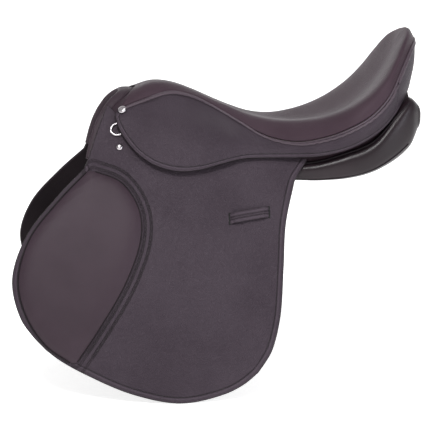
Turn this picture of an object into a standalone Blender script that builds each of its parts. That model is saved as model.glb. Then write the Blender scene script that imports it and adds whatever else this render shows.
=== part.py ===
"""English saddle: tree, seat, panels, flaps, skirts, bars and straps.

Lengths in the tables are millimetres; +X runs from pommel to cantle, the near
side is -Y and +Z is up.  The origin is on the middle plane at the height where
the panels bear on the horse.
"""
import math

import bmesh
import bpy
from mathutils import Matrix, Vector

# ---- driving sizes, millimetres ------------------------------------------
MM = 0.001
FLAP_T = 3.5          # flap leather
SKIRT_T = 3.5         # skirt leather
SEAT_T = 2.6          # seat leather
SWEAT_T = 2.5         # sweat flap leather
SWEAT_IN = 17.0       # sweat flap lies this far inside the flap
STRAP_IN = 9.5        # girth straps lie this far inside the flap
STRAP_T = 3.0
STRAP_W = 24.0
STRAP_X = (-158.0, -108.0, -58.0)
STRAP_TOP = 8.0
STRAP_END = -236.0
HOLE_R = 2.4
HOLE_PITCH = 25.0
HOLE_COUNT = 6
BAR_Z = 46.0
BAR_GAP = 6.3         # leather runs in this space behind the bar
BAR_T = 4.2
WIRE_R = 1.5
GAP = 0.35            # kept between neighbouring pieces

HINGE_FRONT = (-262.0, 24.0)     # flap bends along this line (x, z)
HINGE_REAR = (30.0, 5.0)
SKIRT_HINGE_FRONT = (-214.0, 92.0)
SKIRT_HINGE_REAR = (-40.0, 45.0)

# seat: centre line (x, z), crest (x, y, z), welt (x, y, z)
SEAT = [
    ((-187, 130.0), (-197, 34, 124.0), (-211, 58, 104.0)),
    ((-162, 137.0), (-166, 28, 134.0), (-180, 50, 115.0)),
    ((-135, 134.5), (-136, 22, 133.0), (-139, 38, 126.0)),
    ((-105, 124.0), (-105, 18, 123.0), (-106, 31, 118.5)),
    ((-77, 111.0), (-77, 20, 110.0), (-77, 31, 104.0)),
    ((-50, 99.0), (-50, 26, 98.0), (-49, 42, 88.0)),
    ((-20, 88.0), (-19, 40, 86.0), (-16, 63, 69.0)),
    ((10, 81.5), (12, 58, 81.0), (9, 80, 61.0)),
    ((45, 79.5), (46, 78, 83.0), (40, 97, 59.0)),
    ((80, 84.0), (80, 95, 91.0), (78, 112, 68.0)),
    ((112, 96.0), (110, 106, 104.0), (110, 121, 82.0)),
    ((140, 116.0), (138, 110, 123.0), (138, 119, 98.0)),
    ((160, 139.0), (160, 106, 146.0), (163, 110, 123.0)),
    ((176, 163.0), (176, 92, 170.0), (184, 86, 158.0)),
    ((186, 182.0), (191, 68, 194.0), (201, 58, 184.0)),
    ((192, 194.0), (202, 38, 206.0), (212, 30, 194.0)),
    ((195, 200.0), (207, 9, 211.0), (217, 7, 197.0)),
]
# skirt: welt (x, y, z), middle (x, y, z), lower edge (x, y, z)
SKIRT = [
    ((-213, 60, 102), (-215, 62, 99), (-217.5, 66, 95)),
    ((-196, 56, 109), (-205, 70, 93), (-212, 78, 78)),
    ((-174, 48, 118), (-190, 76, 87), (-202, 86, 62)),
    ((-150, 41, 125), (-169, 89, 74), (-186, 97, 45)),
    ((-128, 35, 125.5), (-147, 94, 70), (-164, 105, 31)),
    ((-106, 31, 118.5), (-120, 96, 68), (-134, 110, 23)),
    ((-84, 31, 107), (-94, 96, 65), (-104, 109, 24)),
    ((-60, 37, 94), (-67, 94, 61), (-74, 106, 31)),
    ((-35, 51, 80), (-38, 86, 56), (-42, 99, 37)),
    ((-5, 70, 64), (-6, 88, 52), (-8, 97, 38)),
    ((30, 91, 59), (31, 99, 50), (33, 102, 39)),
    ((68, 108, 65), (67, 112, 54), (66, 110, 42)),
    ((105, 120, 80), (103, 120, 66), (101, 112, 50)),
    ((136, 119, 97), (134, 120, 82), (131, 111, 63)),
    ((162, 111, 122), (160, 112, 103), (156, 103, 79)),
    ((184, 86, 158), (181, 91, 130), (178, 88, 101)),
    ((202, 56, 184), (201, 58, 152), (196, 56, 121)),
    ((213, 26, 195), (212, 28, 163), (206, 28, 131)),
    ((217, 0, 197), (215.5, 0, 165), (209, 0, 134)),
]
# near panel: x, inner bottom (y, z), outer bottom (y, z), depth inside, outside
PANEL = [
    (-230, (42, 54), (84, -22), 7, 7),
    (-222, (36, 58), (90, -40), 11, 11),
    (-180, (32, 48), (93, -50), 13, 14),
    (-130, (30, 34), (91, -45), 14, 15),
    (-80, (29, 22), (89, -26), 20, 18),
    (-30, (28, 11), (88, -8), 22, 20),
    (20, (28, 6), (91, 0), 26, 23),
    (70, (28, 4), (101, 0), 33, 31),
    (110, (28, 7), (105, 3), 44, 42),
    (150, (29, 16), (103, 13), 53, 50),
    (180, (32, 30), (94, 28), 76, 70),
    (201, (38, 46), (84, 46), 74, 73),
    (213, (46, 64), (75, 64), 50, 49),
]
# tree: centre (x, y, z), width across, height
TREE = [
    ((-187, 0, 111), 24, 11), ((-186, 22, 107), 24, 11), ((-180, 40, 90), 22, 12),
    ((-163, 49, 69), 22, 11), ((-135, 53, 56), 22, 10), ((-100, 57, 49), 22, 9),
    ((-50, 62, 42), 22, 9), ((10, 71, 39), 22, 9), ((40, 78, 41), 24, 9),
    ((70, 85, 46), 26, 9), ((100, 89, 58), 26, 10), ((125, 90, 70), 24, 12),
    ((150, 85, 91), 18, 18), ((170, 71, 116), 13, 26), ((187, 48, 140), 11, 34),
    ((197, 24, 153), 10, 38), ((200, 0, 157), 10, 40),
]
# gullet plate arch: (x, y, z)
ARCH = [(-208, 0, 103), (-208, 26, 98), (-208, 46, 80), (-208, 62, 56),
        (-209, 76, 34), (-210, 88, 12), (-211, 97, -8)]
FACING = [(-201, 0, 125.5), (-206, 22, 121.5), (-224, 41, 107), (-239, 54.5, 84),
          (-248, 66, 60), (-254, 78, 36)]


# ---- curves ---------------------------------------------------------------
def spline(points, t, start=None, end=None):
    """Point at t (0..1) on a smooth curve through the points."""
    pts = [Vector(p) for p in points]
    knots = [0.0]
    for a, b in zip(pts, pts[1:]):
        knots.append(knots[-1] + math.sqrt((b - a).length) + 1e-9)
    x = t * knots[-1]
    k = max(i for i in range(len(pts) - 1) if knots[i] <= x + 1e-12)

    def slope(i):
        if i == 0:
            return (pts[1] - pts[0]) / knots[1] if start is None else Vector(start)
        if i == len(pts) - 1:
            if end is not None:
                return Vector(end)
            return (pts[i] - pts[i - 1]) / (knots[i] - knots[i - 1])
        a, b = knots[i] - knots[i - 1], knots[i + 1] - knots[i]
        return ((pts[i] - pts[i - 1]) / a * b + (pts[i + 1] - pts[i]) / b * a) / (a + b)

    h = knots[k + 1] - knots[k]
    u = (x - knots[k]) / h
    return (pts[k] * (2 * u ** 3 - 3 * u ** 2 + 1) + slope(k) * h * (u ** 3 - 2 * u ** 2 + u)
            + pts[k + 1] * (3 * u ** 2 - 2 * u ** 3) + slope(k + 1) * h * (u ** 3 - u ** 2))


def sample(points, count, start=0.0, end=1.0):
    """Evenly spaced points along the curve, by length."""
    fine = [spline(points, start + (end - start) * i / 200) for i in range(201)]
    run = [0.0]
    for a, b in zip(fine, fine[1:]):
        run.append(run[-1] + (b - a).length)
    out, j = [], 0
    for i in range(count + 1):
        want = run[-1] * i / count
        while j < 199 and run[j + 1] < want:
            j += 1
        span = max(run[j + 1] - run[j], 1e-9)
        out.append(fine[j].lerp(fine[j + 1], min(max((want - run[j]) / span, 0), 1)))
    return out


def drape(x, z):
    """Half width of the flap's middle layer at a height."""
    if z > 0:
        return 108.0 - 0.5 * z
    return 108.0 - 0.5 * z - 0.00055 * z * z


def hung(x, z, inward=0.0, side=-1):
    """Point on the hanging layers, moved towards the horse by a distance."""
    return Vector((x, side * (drape(x, z) - inward), z))


def patch(top, bottom, front, rear, across, down):
    """Grid over four border curves given as lists of (x, z)."""
    t = sample([Vector((*p, 0)) for p in top], across)
    b = sample([Vector((*p, 0)) for p in bottom], across)
    f = sample([Vector((*p, 0)) for p in front], down)
    r = sample([Vector((*p, 0)) for p in rear], down)
    rows = []
    for j in range(down + 1):
        v = j / down
        row = []
        for i in range(across + 1):
            u = i / across
            p = (t[i] * (1 - v) + b[i] * v + f[j] * (1 - u) + r[j] * u
                 - (t[0] * (1 - u) * (1 - v) + t[-1] * u * (1 - v)
                    + b[0] * (1 - u) * v + b[-1] * u * v))
            row.append((p.x, p.y))
        rows.append(row)
    return rows


# ---- solids ---------------------------------------------------------------
def finish(name, verts, faces, mat, smooth=True):
    mesh = bpy.data.meshes.new(name)
    mesh.from_pydata([Vector(v) * MM for v in verts], [], faces)
    mesh.validate()
    bm = bmesh.new()
    bm.from_mesh(mesh)
    bmesh.ops.recalc_face_normals(bm, faces=bm.faces)
    bm.to_mesh(mesh)
    bm.free()
    for poly in mesh.polygons:
        poly.use_smooth = smooth
    mesh.materials.append(mat)
    obj = bpy.data.objects.new(name, mesh)
    bpy.context.scene.collection.objects.link(obj)
    return obj


def grid_faces(rows, wrap=False):
    n = len(rows[0])
    faces = []
    for j in range(len(rows) - 1):
        for i in range(n if wrap else n - 1):
            k = (i + 1) % n
            faces.append((j * n + i, j * n + k, (j + 1) * n + k, (j + 1) * n + i))
    return [Vector(p) for row in rows for p in row], faces


def triangles(verts, faces):
    """Split four-sided faces along the shorter diagonal."""
    out = []
    for f in faces:
        if len(f) != 4:
            out.append(tuple(f))
            continue
        a, b, c, d = f
        if (verts[a] - verts[c]).length <= (verts[b] - verts[d]).length:
            out += [(a, b, c), (a, c, d)]
        else:
            out += [(a, b, d), (b, c, d)]
    return out


def offset_normals(verts, faces, toward):
    total = [Vector((0, 0, 0)) for _ in verts]
    for f in faces:
        for a in range(len(f)):
            p, q, r = verts[f[a - 1]], verts[f[a]], verts[f[(a + 1) % len(f)]]
            total[f[a]] += (q - p).cross(r - q).normalized()
    total = [n.normalized() if n.length > 1e-9 else Vector((0, 0, 1)) for n in total]
    if sum((n.dot(Vector(toward)) for n in total)) < 0:
        total = [-n for n in total]
    return total


def shell(name, verts, faces, outer, inner, mat, toward=(0, -1, 0.3), smooth=True):
    """Closed piece between two offsets of a surface."""
    normals = offset_normals(verts, faces, toward)
    faces = triangles(verts, faces)
    out = outer if callable(outer) else (lambda i: outer)
    inn = inner if callable(inner) else (lambda i: inner)
    n = len(verts)
    pts = [v + normals[i] * out(i) for i, v in enumerate(verts)]
    pts += [v + normals[i] * inn(i) for i, v in enumerate(verts)]
    count = {}
    for f in faces:
        for a in range(len(f)):
            e = (f[a], f[(a + 1) % len(f)])
            count[tuple(sorted(e))] = count.get(tuple(sorted(e)), 0) + 1
    solid = [tuple(f) for f in faces] + [tuple(n + i for i in reversed(f)) for f in faces]
    for f in faces:
        for a in range(len(f)):
            i, j = f[a], f[(a + 1) % len(f)]
            if count[tuple(sorted((i, j)))] == 1:
                solid.append((j, i, n + i, n + j))
    return finish(name, pts, solid, mat, smooth)


def sweep(name, stations, mat, closed=False, smooth=True):
    """Solid through rings of points."""
    verts, faces = grid_faces(stations, wrap=True)
    n = len(stations[0])
    if closed:
        last = (len(stations) - 1) * n
        faces += [(last + i, last + (i + 1) % n, (i + 1) % n, i) for i in range(n)]
    else:
        faces.append(tuple(reversed(range(n))))
        faces.append(tuple(range(len(verts) - n, len(verts))))
    return finish(name, verts, faces, mat, smooth)


def ring_box(centre, across, up, width, height, bevel=0.28):
    """Eight points of a rounded rectangle."""
    b = min(width, height) * bevel
    w, h = width / 2, height / 2
    flat = [(w - b, -h), (w, -h + b), (w, h - b), (w - b, h),
            (-w + b, h), (-w, h - b), (-w, -h + b), (-w + b, -h)]
    return [centre + across * p + up * q for p, q in flat]


def ring_round(centre, across, up, radius, sides=8):
    return [centre + across * radius * math.cos(2 * math.pi * i / sides)
            + up * radius * math.sin(2 * math.pi * i / sides) for i in range(sides)]


def turned(name, base, axis, profile, mat, sides=14):
    """Body turned about an axis; profile holds (distance, radius)."""
    axis = Vector(axis).normalized()
    a = axis.orthogonal().normalized()
    b = axis.cross(a)
    rings = [ring_round(Vector(base) + axis * d, a, b, r, sides) for d, r in profile]
    return sweep(name, rings, mat)


def mirrored(obj, name):
    mesh = obj.data.copy()
    for v in mesh.vertices:
        v.co.y = -v.co.y
    mesh.flip_normals()
    twin = bpy.data.objects.new(name, mesh)
    bpy.context.scene.collection.objects.link(twin)
    o = obj.location
    twin.location = (o.x, -o.y, o.z)
    return twin


def pair(build, name):
    """Near piece and its mirror image on the off side."""
    near = build("near_" + name)
    return near, mirrored(near, "off_" + name)


def pivot(obj, point):
    """Put the object's own origin at a point without moving the shape."""
    p = Vector(point) * MM
    obj.data.transform(Matrix.Translation(-p))
    obj.location = p


def cut(obj, cutter):
    mod = obj.modifiers.new("cut", "BOOLEAN")
    mod.operation = "DIFFERENCE"
    mod.solver = "EXACT"
    mod.object = cutter
    cutter.hide_render = True
    cutter.display_type = "WIRE"
    view = bpy.context.view_layer
    view.update()
    done = bpy.data.meshes.new_from_object(obj.evaluated_get(view.depsgraph))
    obj.modifiers.clear()
    obj.data = done
    bpy.data.objects.remove(cutter)


def material(name, colour, metallic=0.0, rough=0.5):
    mat = bpy.data.materials.new(name)
    mat.use_nodes = True
    shader = mat.node_tree.nodes["Principled BSDF"]
    shader.inputs["Base Color"].default_value = (*colour, 1.0)
    shader.inputs["Metallic"].default_value = metallic
    shader.inputs["Roughness"].default_value = rough
    return mat


# ---- seat -----------------------------------------------------------------
def seat_rows(across, along, stop=1.0):
    """Rows over the near half of the seat, centre line first."""
    rows = []
    for i in range(along + 1):
        s = i / along
        c = spline([(x, 0, z) for (x, z), _, _ in SEAT], s)
        r = spline([(x, -y, z) for _, (x, y, z), _ in SEAT], s)
        w = spline([(x, -y, z) for _, _, (x, y, z) in SEAT], s)
        span = math.sqrt((r - c).length)
        flat = Vector((0, r.y - c.y, 0)) / span
        fall = (w - r) / math.sqrt((w - r).length)
        fall = Vector((fall.x, fall.y * 0.35, fall.z * 1.25))
        rows.append([spline([c, r, w], stop * j / across, flat, fall)
                     for j in range(across + 1)])
    return rows


def whole_seat(across, along, stop=1.0):
    """Vertices and faces over both halves, closed behind the cantle."""
    near = seat_rows(across, along, stop)
    rows = [[Vector((p.x, -p.y, p.z)) for p in reversed(row)] + row[1:] for row in near]
    verts, faces = grid_faces(rows)
    n = len(rows[0])
    base = (len(rows) - 1) * n
    for j in range(across):
        a, b = base + across + j, base + across + j + 1
        c, d = base + across - j - 1, base + across - j
        faces.append((a, b, c) if j == 0 else (a, b, c, d))
    return verts, faces, n


def foam_depth(x, across):
    """Depth of the seat padding below the leather."""
    middle = spline([(-190, 6, 0), (-150, 12, 0), (-100, 14, 0), (-50, 17, 0), (0, 22, 0),
                     (50, 21, 0), (100, 16, 0), (140, 9, 0), (170, 4, 0), (200, 2.2, 0)],
                    min(max((x + 190) / 390, 0), 1)).y
    edge = 3.0 if x < 120 else 1.4
    return middle + (edge - middle) * min(1.0, across)


def build_seat(leather, foam, linen, welt_leather):
    across, along = 6, 17
    verts, faces, n = whole_seat(across, along, 0.985)
    shell("seat_cover", verts, faces, 0.0, -SEAT_T, leather, (0, 0, 1))

    def depth(i):
        t = abs((i % n) - across) / across
        return -(SEAT_T + GAP + foam_depth(verts[i].x, t))
    shell("seat_foam", verts, faces, -SEAT_T - GAP, depth, foam, (0, 0, 1))
    rows = []
    for x, half, z, dip in ((-168, 22, 113, 1), (-140, 24, 103, 1), (-100, 40, 84, 4),
                            (-50, 48, 66, 5), (0, 56, 54, 3), (50, 62, 53, 2),
                            (100, 66, 64, 1), (140, 60, 92, 0)):
        rows.append([Vector((x, half * u, z - dip * (1 - u * u))) for u in
                     (-1, -0.5, 0, 0.5, 1)])
    verts, faces = grid_faces(rows)
    shell("seat_web", verts, faces, 0.0, -1.6, linen, (0, 0, 1))
    half = []
    for row in seat_rows(6, 26, 0.985):
        half.append(row[-1] + (row[-1] - row[-2]).normalized() * 2.7)
    half[-1].y = 0.0
    path = half + [Vector((p.x, -p.y, p.z)) for p in reversed(half[:-1])]
    rings = []
    for i, p in enumerate(path):
        along_v = frame_at(path, i)
        out = (Vector((0, 0, 1)) - along_v * along_v.z).normalized()
        rings.append(ring_round(p, out, along_v.cross(out), 1.4, 5))
    sweep("seat_welt", rings, welt_leather)


# ---- tree and steel -------------------------------------------------------
def frame_at(path, i, closed=False):
    n = len(path)
    a = path[(i - 1) % n] if closed else path[max(i - 1, 0)]
    b = path[(i + 1) % n] if closed else path[min(i + 1, n - 1)]
    return (b - a).normalized()


def build_tree(wood, steel):
    count = 14
    centre, width, height = [], [], []
    pts = [(x, -y, z) for (x, y, z), _, _ in TREE]
    sizes = [(w, h, 0) for _, w, h in TREE]
    for i in range(count + 1):
        centre.append(spline(pts, i / count))
        size = spline(sizes, i / count)
        width.append(size.x)
        height.append(size.y)
    loop = centre + [Vector((p.x, -p.y, p.z)) for p in reversed(centre[1:-1])]
    width += list(reversed(width[1:-1]))
    height += list(reversed(height[1:-1]))
    rings = []
    for i, p in enumerate(loop):
        along = frame_at(loop, i, closed=True)
        across = Vector((along.y, -along.x, 0)).normalized()
        up = across.cross(along)
        if up.z < 0:
            up = -up
        rings.append(ring_box(p, across, up, width[i], height[i]))
    sweep("tree_frame", rings, wood, closed=True)

    half = sample([(x, -y, z) for x, y, z in ARCH], 8)
    path = list(reversed(half)) + [Vector((p.x, -p.y, p.z)) for p in half[1:]]
    rings = []
    for i, p in enumerate(path):
        along = frame_at(path, i)
        across = Vector((1, 0, 0))
        up = along.cross(across).normalized()
        end = min(i, len(path) - 1 - i)
        rings.append(ring_box(p, across, up, 9 if end == 0 else 13, 3.5, 0.2))
    sweep("gullet_plate", rings, steel)

    def spring(name):
        path = [Vector(p) for p in ((-140, -33, 62.5), (-100, -36, 55.5), (-50, -40, 48.8),
                                    (0, -46, 44.5), (50, -53, 46.5), (92, -60, 57.0))]
        rings = []
        for i, p in enumerate(path):
            along = frame_at(path, i)
            across = Vector((0, 1, 0))
            rings.append(ring_box(p, across, along.cross(across).normalized(), 14, 1.4, 0.2))
        return sweep(name, rings, steel)
    pair(spring, "spring_strip")


def bar_frame(side=-1):
    """Base point and directions of the plane the stirrup bar lies in."""
    out = Vector((0, side * 0.894, 0.447)).normalized()
    up = Vector((0, -side * 0.447, 0.894)).normalized()
    return hung(0, BAR_Z, side=side), out, up


def build_bars(steel):
    base, out, up = bar_frame()

    def bar(name):
        c = base + out * (FLAP_T / 2 + BAR_GAP + BAR_T / 2)
        rings = [ring_box(c + Vector((x, 0, 0)) - out * 2.4, out, up, 1.1, w)
                 for x, w in ((-83, 6), (-85, 8), (-93.5, 8))]
        for x, w in ((-94.5, 9), (-100, 11), (-130, 12), (-158, 12)):
            rings.append(ring_box(c + Vector((x, 0, 0)), out, up, BAR_T, w))
        ahead = Vector((-1, 0, 0))
        rings.append(ring_box(c + Vector((-168, 0, 0)) - out * 2.0,
                              (out + ahead).normalized(), up, 6, 12))
        rings.append(ring_box(c + Vector((-171, 0, 0)) - out * 8, ahead, up, 6, 11))
        rings.append(ring_box(Vector((-171, -74, 47)), ahead, up, 6, 11))
        rings.append(ring_box(Vector((-170, -66, 53)), ahead, Vector((0, 0.3, 0.95)).normalized(),
                              10, 12))
        obj = sweep(name, rings, steel)
        cut(obj, turned("cutter", hinge - out * 6, out, ((0, 1.75), (5, 1.75)), steel, 10))
        return obj

    hinge = base + out * (FLAP_T / 2 + BAR_GAP + BAR_T / 2) + Vector((-88, 0, 0))

    pair(bar, "stirrup_bar")

    def catch(name):
        rings = []
        for x, w, lift in ((-5, 5, 0), (-3, 9, 0), (3, 10, 0), (9, 8, 0.5), (13, 7, 1.2),
                           (15.5, 5, 1.8)):
            rings.append(ring_box(hinge + Vector((x, 0, 0)) + up * lift, out, up, 3, w))
        obj = sweep(name, rings, steel)
        hole = turned("cutter", hinge - out * 6, out, ((0, 1.7), (12, 1.7)), steel, 10)
        cut(obj, hole)
        pivot(obj, hinge)
        return obj
    pair(catch, "bar_catch")

    def pin(name):
        return turned(name, hinge - out * 4.8, out,
                      ((0, 2.4), (1.4, 2.6), (1.4, 1.4), (6.7, 1.4), (6.7, 2.6), (7.9, 2.4)),
                      steel, 10)
    pair(pin, "catch_pin")


# ---- leather sides --------------------------------------------------------
def skirt_point(s, t):
    w = spline([(x, -y, z) for (x, y, z), _, _ in SKIRT], s)
    m = spline([(x, -y, z) for _, (x, y, z), _ in SKIRT], s)
    e = spline([(x, -y, z) for _, _, (x, y, z) in SKIRT], s)
    return spline([w, m, e], t)


def welt_line():
    return [spline([(x, -y, z) for _, _, (x, y, z) in SEAT], i / 120) for i in range(121)]


def skirt_start(s, line):
    """First point of the skirt that is clear of the seat's piping."""
    for i in range(1, 200):
        p = skirt_point(s, i / 200)
        if min((p - q).length for q in line) > 7.0:
            return i / 200
    return 0.2


def skirt_split(s):
    """Where the bend line crosses the skirt at a station (0 top, 1 lower edge)."""
    (x0, z0), (x1, z1) = SKIRT_HINGE_FRONT, SKIRT_HINGE_REAR
    for i in range(401):
        p = skirt_point(s, i / 400)
        if p.z < z0 + (z1 - z0) * (p.x - x0) / (x1 - x0):
            return i / 400
    return 1.0


def build_skirts(leather):
    last = 0.80                      # the cantle back takes over here
    start, stop = 0.045, 0.392       # stations the bend line runs between
    stations = [0.0] + [start + (stop - start) * i / 9 for i in range(10)]
    stations += [stop + (last - stop) * i / 9 for i in range(1, 10)]

    line = welt_line()

    def upper(name):
        rows = []
        for s in stations:
            end = skirt_split(s) if start <= s <= stop else 1.0
            first = skirt_start(s, line)
            if s < start:
                end = max(end, first + 0.15)
            if start <= s <= stop:
                size = (skirt_point(s, 1.0) - skirt_point(s, 0.0)).length
                end = max(first + 0.06, end - skirt_relief(s, end) / size)
            rows.append([skirt_point(s, first + (end - first) * j / 4) for j in range(5)])
        verts, faces = grid_faces(rows)
        return shell(name, verts, faces, SKIRT_T / 2, -SKIRT_T / 2, leather)
    pair(upper, "skirt_top")

    def lower(name):
        rows = []
        for i in range(10):
            s = start + 0.012 + (stop - start - 0.03) * i / 9
            first = min(skirt_split(s) + 0.012, 0.97)
            rows.append([skirt_point(s, first + (1 - first) * j / 4) for j in range(5)])
        verts, faces = grid_faces(rows)
        obj = shell(name, verts, faces, SKIRT_T / 2, -SKIRT_T / 2, leather)
        pivot(obj, skirt_axis()[0])
        return obj
    pair(lower, "skirt")

    rows = []
    for i in range(6):
        s = last + 0.006 + (1 - last - 0.006) * i / 5
        first = skirt_start(s, line) + 0.05
        rows.append([skirt_point(s, first + (1 - first) * j / 4) for j in range(5)])
    near = rows[:-1]
    rows = rows + [[Vector((p.x, -p.y, p.z)) for p in row] for row in reversed(near)]
    verts, faces = grid_faces(rows)
    shell("cantle_back", verts, faces, SKIRT_T / 2, -SKIRT_T / 2, leather, (1, 0, 0))


def skirt_axis():
    """A point on the skirt's hinge line and its direction, near side."""
    a = Vector((SKIRT_HINGE_FRONT[0], -81.0, SKIRT_HINGE_FRONT[1]))
    b = Vector((SKIRT_HINGE_REAR[0], -105.0, SKIRT_HINGE_REAR[1]))
    return (a + b) / 2, (b - a).normalized()


def skirt_relief(s, t):
    """Width of the bend left open above the hinge, where the leather bows outwards."""
    middle, axis = skirt_axis()
    p = skirt_point(s, t)
    away = p - middle
    away -= axis * away.dot(axis)
    return 1.2 + max(0.0, away.dot(Vector((0, -0.83, 0.56))) + SKIRT_T / 2)


def flap_axis():
    """A point on the flap's hinge line and its direction, near side."""
    a = hung(*HINGE_FRONT, inward=-FLAP_T / 2 - 0.4)
    b = hung(*HINGE_REAR, inward=-FLAP_T / 2 - 0.4)
    return (a + b) / 2, (b - a).normalized()


def build_flaps(leather, suede):
    def lower(name):
        drop = 0.6
        rows = patch([(HINGE_FRONT[0], HINGE_FRONT[1] - drop),
                      (HINGE_REAR[0], HINGE_REAR[1] - drop)],
                     [(-318, -208), (-298, -223), (-262, -243), (-200, -270), (-135, -283),
                      (-75, -272), (-48, -259), (-30, -245)],
                     [(HINGE_FRONT[0], HINGE_FRONT[1] - drop), (-300, -12), (-343, -63),
                      (-362, -117), (-352, -165), (-336, -189), (-318, -208)],
                     [(HINGE_REAR[0], HINGE_REAR[1] - drop), (15, -50), (9, -110), (2, -175),
                      (-10, -216), (-20, -232), (-30, -245)], 12, 12)
        verts, faces = grid_faces([[hung(*p) for p in row] for row in rows])
        obj = shell(name, verts, faces, FLAP_T / 2, -FLAP_T / 2, leather)
        pivot(obj, flap_axis()[0])
        return obj
    pair(lower, "flap")

    def upper(name):
        rows = patch([(-228, 108), (-208, 88), (-165, 68), (-80, 54), (0, 42), (50, 33)],
                     [HINGE_FRONT, HINGE_REAR],
                     [(-228, 108), (-243, 72), (-254, 42), HINGE_FRONT],
                     [(50, 33), (38, 17), HINGE_REAR], 12, 4)
        verts, faces = grid_faces([[hung(*p) for p in row] for row in rows])
        obj = shell(name, verts, faces, FLAP_T / 2, -FLAP_T / 2, leather)
        _, out, up = bar_frame()
        hole = sweep("cutter", [ring_box(hung(-171, BAR_Z) + out * d, Vector((1, 0, 0)), up,
                                         9, 15, 0.05) for d in (-9, 9)], leather, smooth=False)
        cut(obj, hole)
        return obj
    pair(upper, "flap_top")

    def knee(name):
        rows = patch([(-257, 21), (-250, 20.5)], [(-284, -227), (-278, -227)],
                     [(-257, 21), (-300, -20), (-338, -66), (-354, -117), (-345, -162),
                      (-318, -203), (-284, -227)],
                     [(-250, 20.5), (-212, 5), (-189, -29), (-187, -66), (-208, -122),
                      (-245, -181), (-278, -227)], 7, 9)
        verts, faces = grid_faces([[hung(*p) for p in row] for row in rows])

        def puff(i):
            u, v = (i % 8) / 7, (i // 8) / 9
            return FLAP_T / 2 + 2.2 + 6.5 * (16 * u * (1 - u) * v * (1 - v)) ** 0.6
        obj = shell(name, verts, faces, puff, FLAP_T / 2 + GAP, suede)
        pivot(obj, flap_axis()[0])
        return obj
    pair(knee, "knee_pad")

    def keeper(name):
        rows = []
        for i in range(7):
            x = -62 + 55 * i / 6
            z = -50 + 8.0 * i / 6
            rows.append([hung(x, z + 13.0 * j / 2) for j in range(3)])
        verts, faces = grid_faces(rows)
        lift = [0, 0.8, 1.4, 1.6, 1.4, 0.8, 0]
        return shell(name, verts, faces, lambda i: FLAP_T / 2 + GAP + 2.0 + lift[i // 3],
                     lambda i: FLAP_T / 2 + GAP + lift[i // 3], leather)
    pair(keeper, "keeper")


def build_under(leather, block_leather):
    def sweat(name):
        rows = patch([(-232, -40), (-130, -30), (-60, -12), (10, -4)],
                     [(-300, -196), (-215, -236), (-120, -250), (-38, -222)],
                     [(-232, -40), (-300, -70), (-336, -120), (-300, -196)],
                     [(10, -4), (0, -60), (-8, -150), (-38, -222)], 9, 8)
        verts, faces = grid_faces([[hung(*p, inward=SWEAT_IN) for p in row] for row in rows])
        return shell(name, verts, faces, SWEAT_T / 2, -SWEAT_T / 2, leather)
    pair(sweat, "sweat_flap")

    def block(name):
        rows = patch([(-262, -52), (-240, -52)], [(-276, -178), (-250, -184)],
                     [(-262, -52), (-300, -90), (-300, -140), (-276, -178)],
                     [(-240, -52), (-250, -90), (-256, -140), (-250, -184)], 5, 8)
        verts, faces = grid_faces([[hung(*p, inward=SWEAT_IN) for p in row] for row in rows])

        def puff(i):
            u, v = (i % 6) / 5, (i // 6) / 8
            return SWEAT_T / 2 + 2.0 + 8.0 * (16 * u * (1 - u) * v * (1 - v)) ** 0.5
        return shell(name, verts, faces, puff, SWEAT_T / 2 + GAP, block_leather)
    pair(block, "knee_block")


def strap_axis(k, side=-1):
    """Hinge point of a girth strap; its direction runs along X."""
    return hung(STRAP_X[k], STRAP_TOP, inward=STRAP_IN - STRAP_T / 2 - 0.4, side=side)


def build_straps(leather, linen):
    names = ("girth_strap_front", "girth_strap_middle", "girth_strap_rear")
    for k, label in enumerate(names):
        def strap(name, k=k):
            x = STRAP_X[k]
            end = STRAP_END + (6 if k != 1 else 0)
            stops = [STRAP_TOP + (end - STRAP_TOP) * i / 9 for i in range(10)]
            rows = [[hung(x + STRAP_W * u / 2, z, inward=STRAP_IN) for u in (-1, 1)]
                    for z in stops]
            rows.append([hung(x + STRAP_W * u * 0.22, end - 9, inward=STRAP_IN)
                         for u in (-1, 1)])
            verts, faces = grid_faces(rows)
            obj = shell(name, verts, faces, STRAP_T / 2, -STRAP_T / 2, leather)
            for h in range(HOLE_COUNT):
                z = end + 16 + HOLE_PITCH * 0.9 * h
                p = hung(x, z, inward=STRAP_IN)
                q = hung(x, z + 2, inward=STRAP_IN) - p
                normal = Vector((0, -q.z, q.y)).normalized()
                hole = turned("cutter", p - normal * 5, normal,
                              ((0, HOLE_R), (10, HOLE_R)), leather, 8)
                cut(obj, hole)
            pivot(obj, strap_axis(k))
            return obj
        pair(strap, label)
    for k, label in enumerate(("girth_web_front", "girth_web_rear")):
        def web(name, k=k):
            xs = ((-170, -96), (-72, -44))[k]
            top = ((-150, -116), (-72, -46))[k]
            tops = (58.0, 47.0)[k]
            rows = []
            for i in range(5):
                v = i / 4
                low, high = STRAP_TOP + 1.2, tops
                z = high + (low - high) * v
                y_in = (66.5, 76.5)[k]
                y = y_in + (drape(0, low) - STRAP_IN - y_in) * v
                row = []
                for u in (0, 0.5, 1):
                    x = ((top[0] + (xs[0] - top[0]) * v) * (1 - u)
                         + (top[1] + (xs[1] - top[1]) * v) * u)
                    row.append(Vector((x, -y, z)))
                rows.append(row)
            verts, faces = grid_faces(rows)
            return shell(name, verts, faces, 0.8, -0.8, linen)
        pair(web, label)

    def guard(name):
        rows = patch([(-172, -28), (-44, -28)], [(-174, -92), (-42, -92)],
                     [(-172, -28), (-174, -60), (-174, -92)],
                     [(-44, -28), (-42, -60), (-42, -92)], 4, 3)
        verts, faces = grid_faces([[hung(*p, inward=STRAP_IN - 3.6) for p in row]
                                   for row in rows])
        return shell(name, verts, faces, 0.9, -0.9, leather)
    pair(guard, "buckle_guard")


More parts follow.
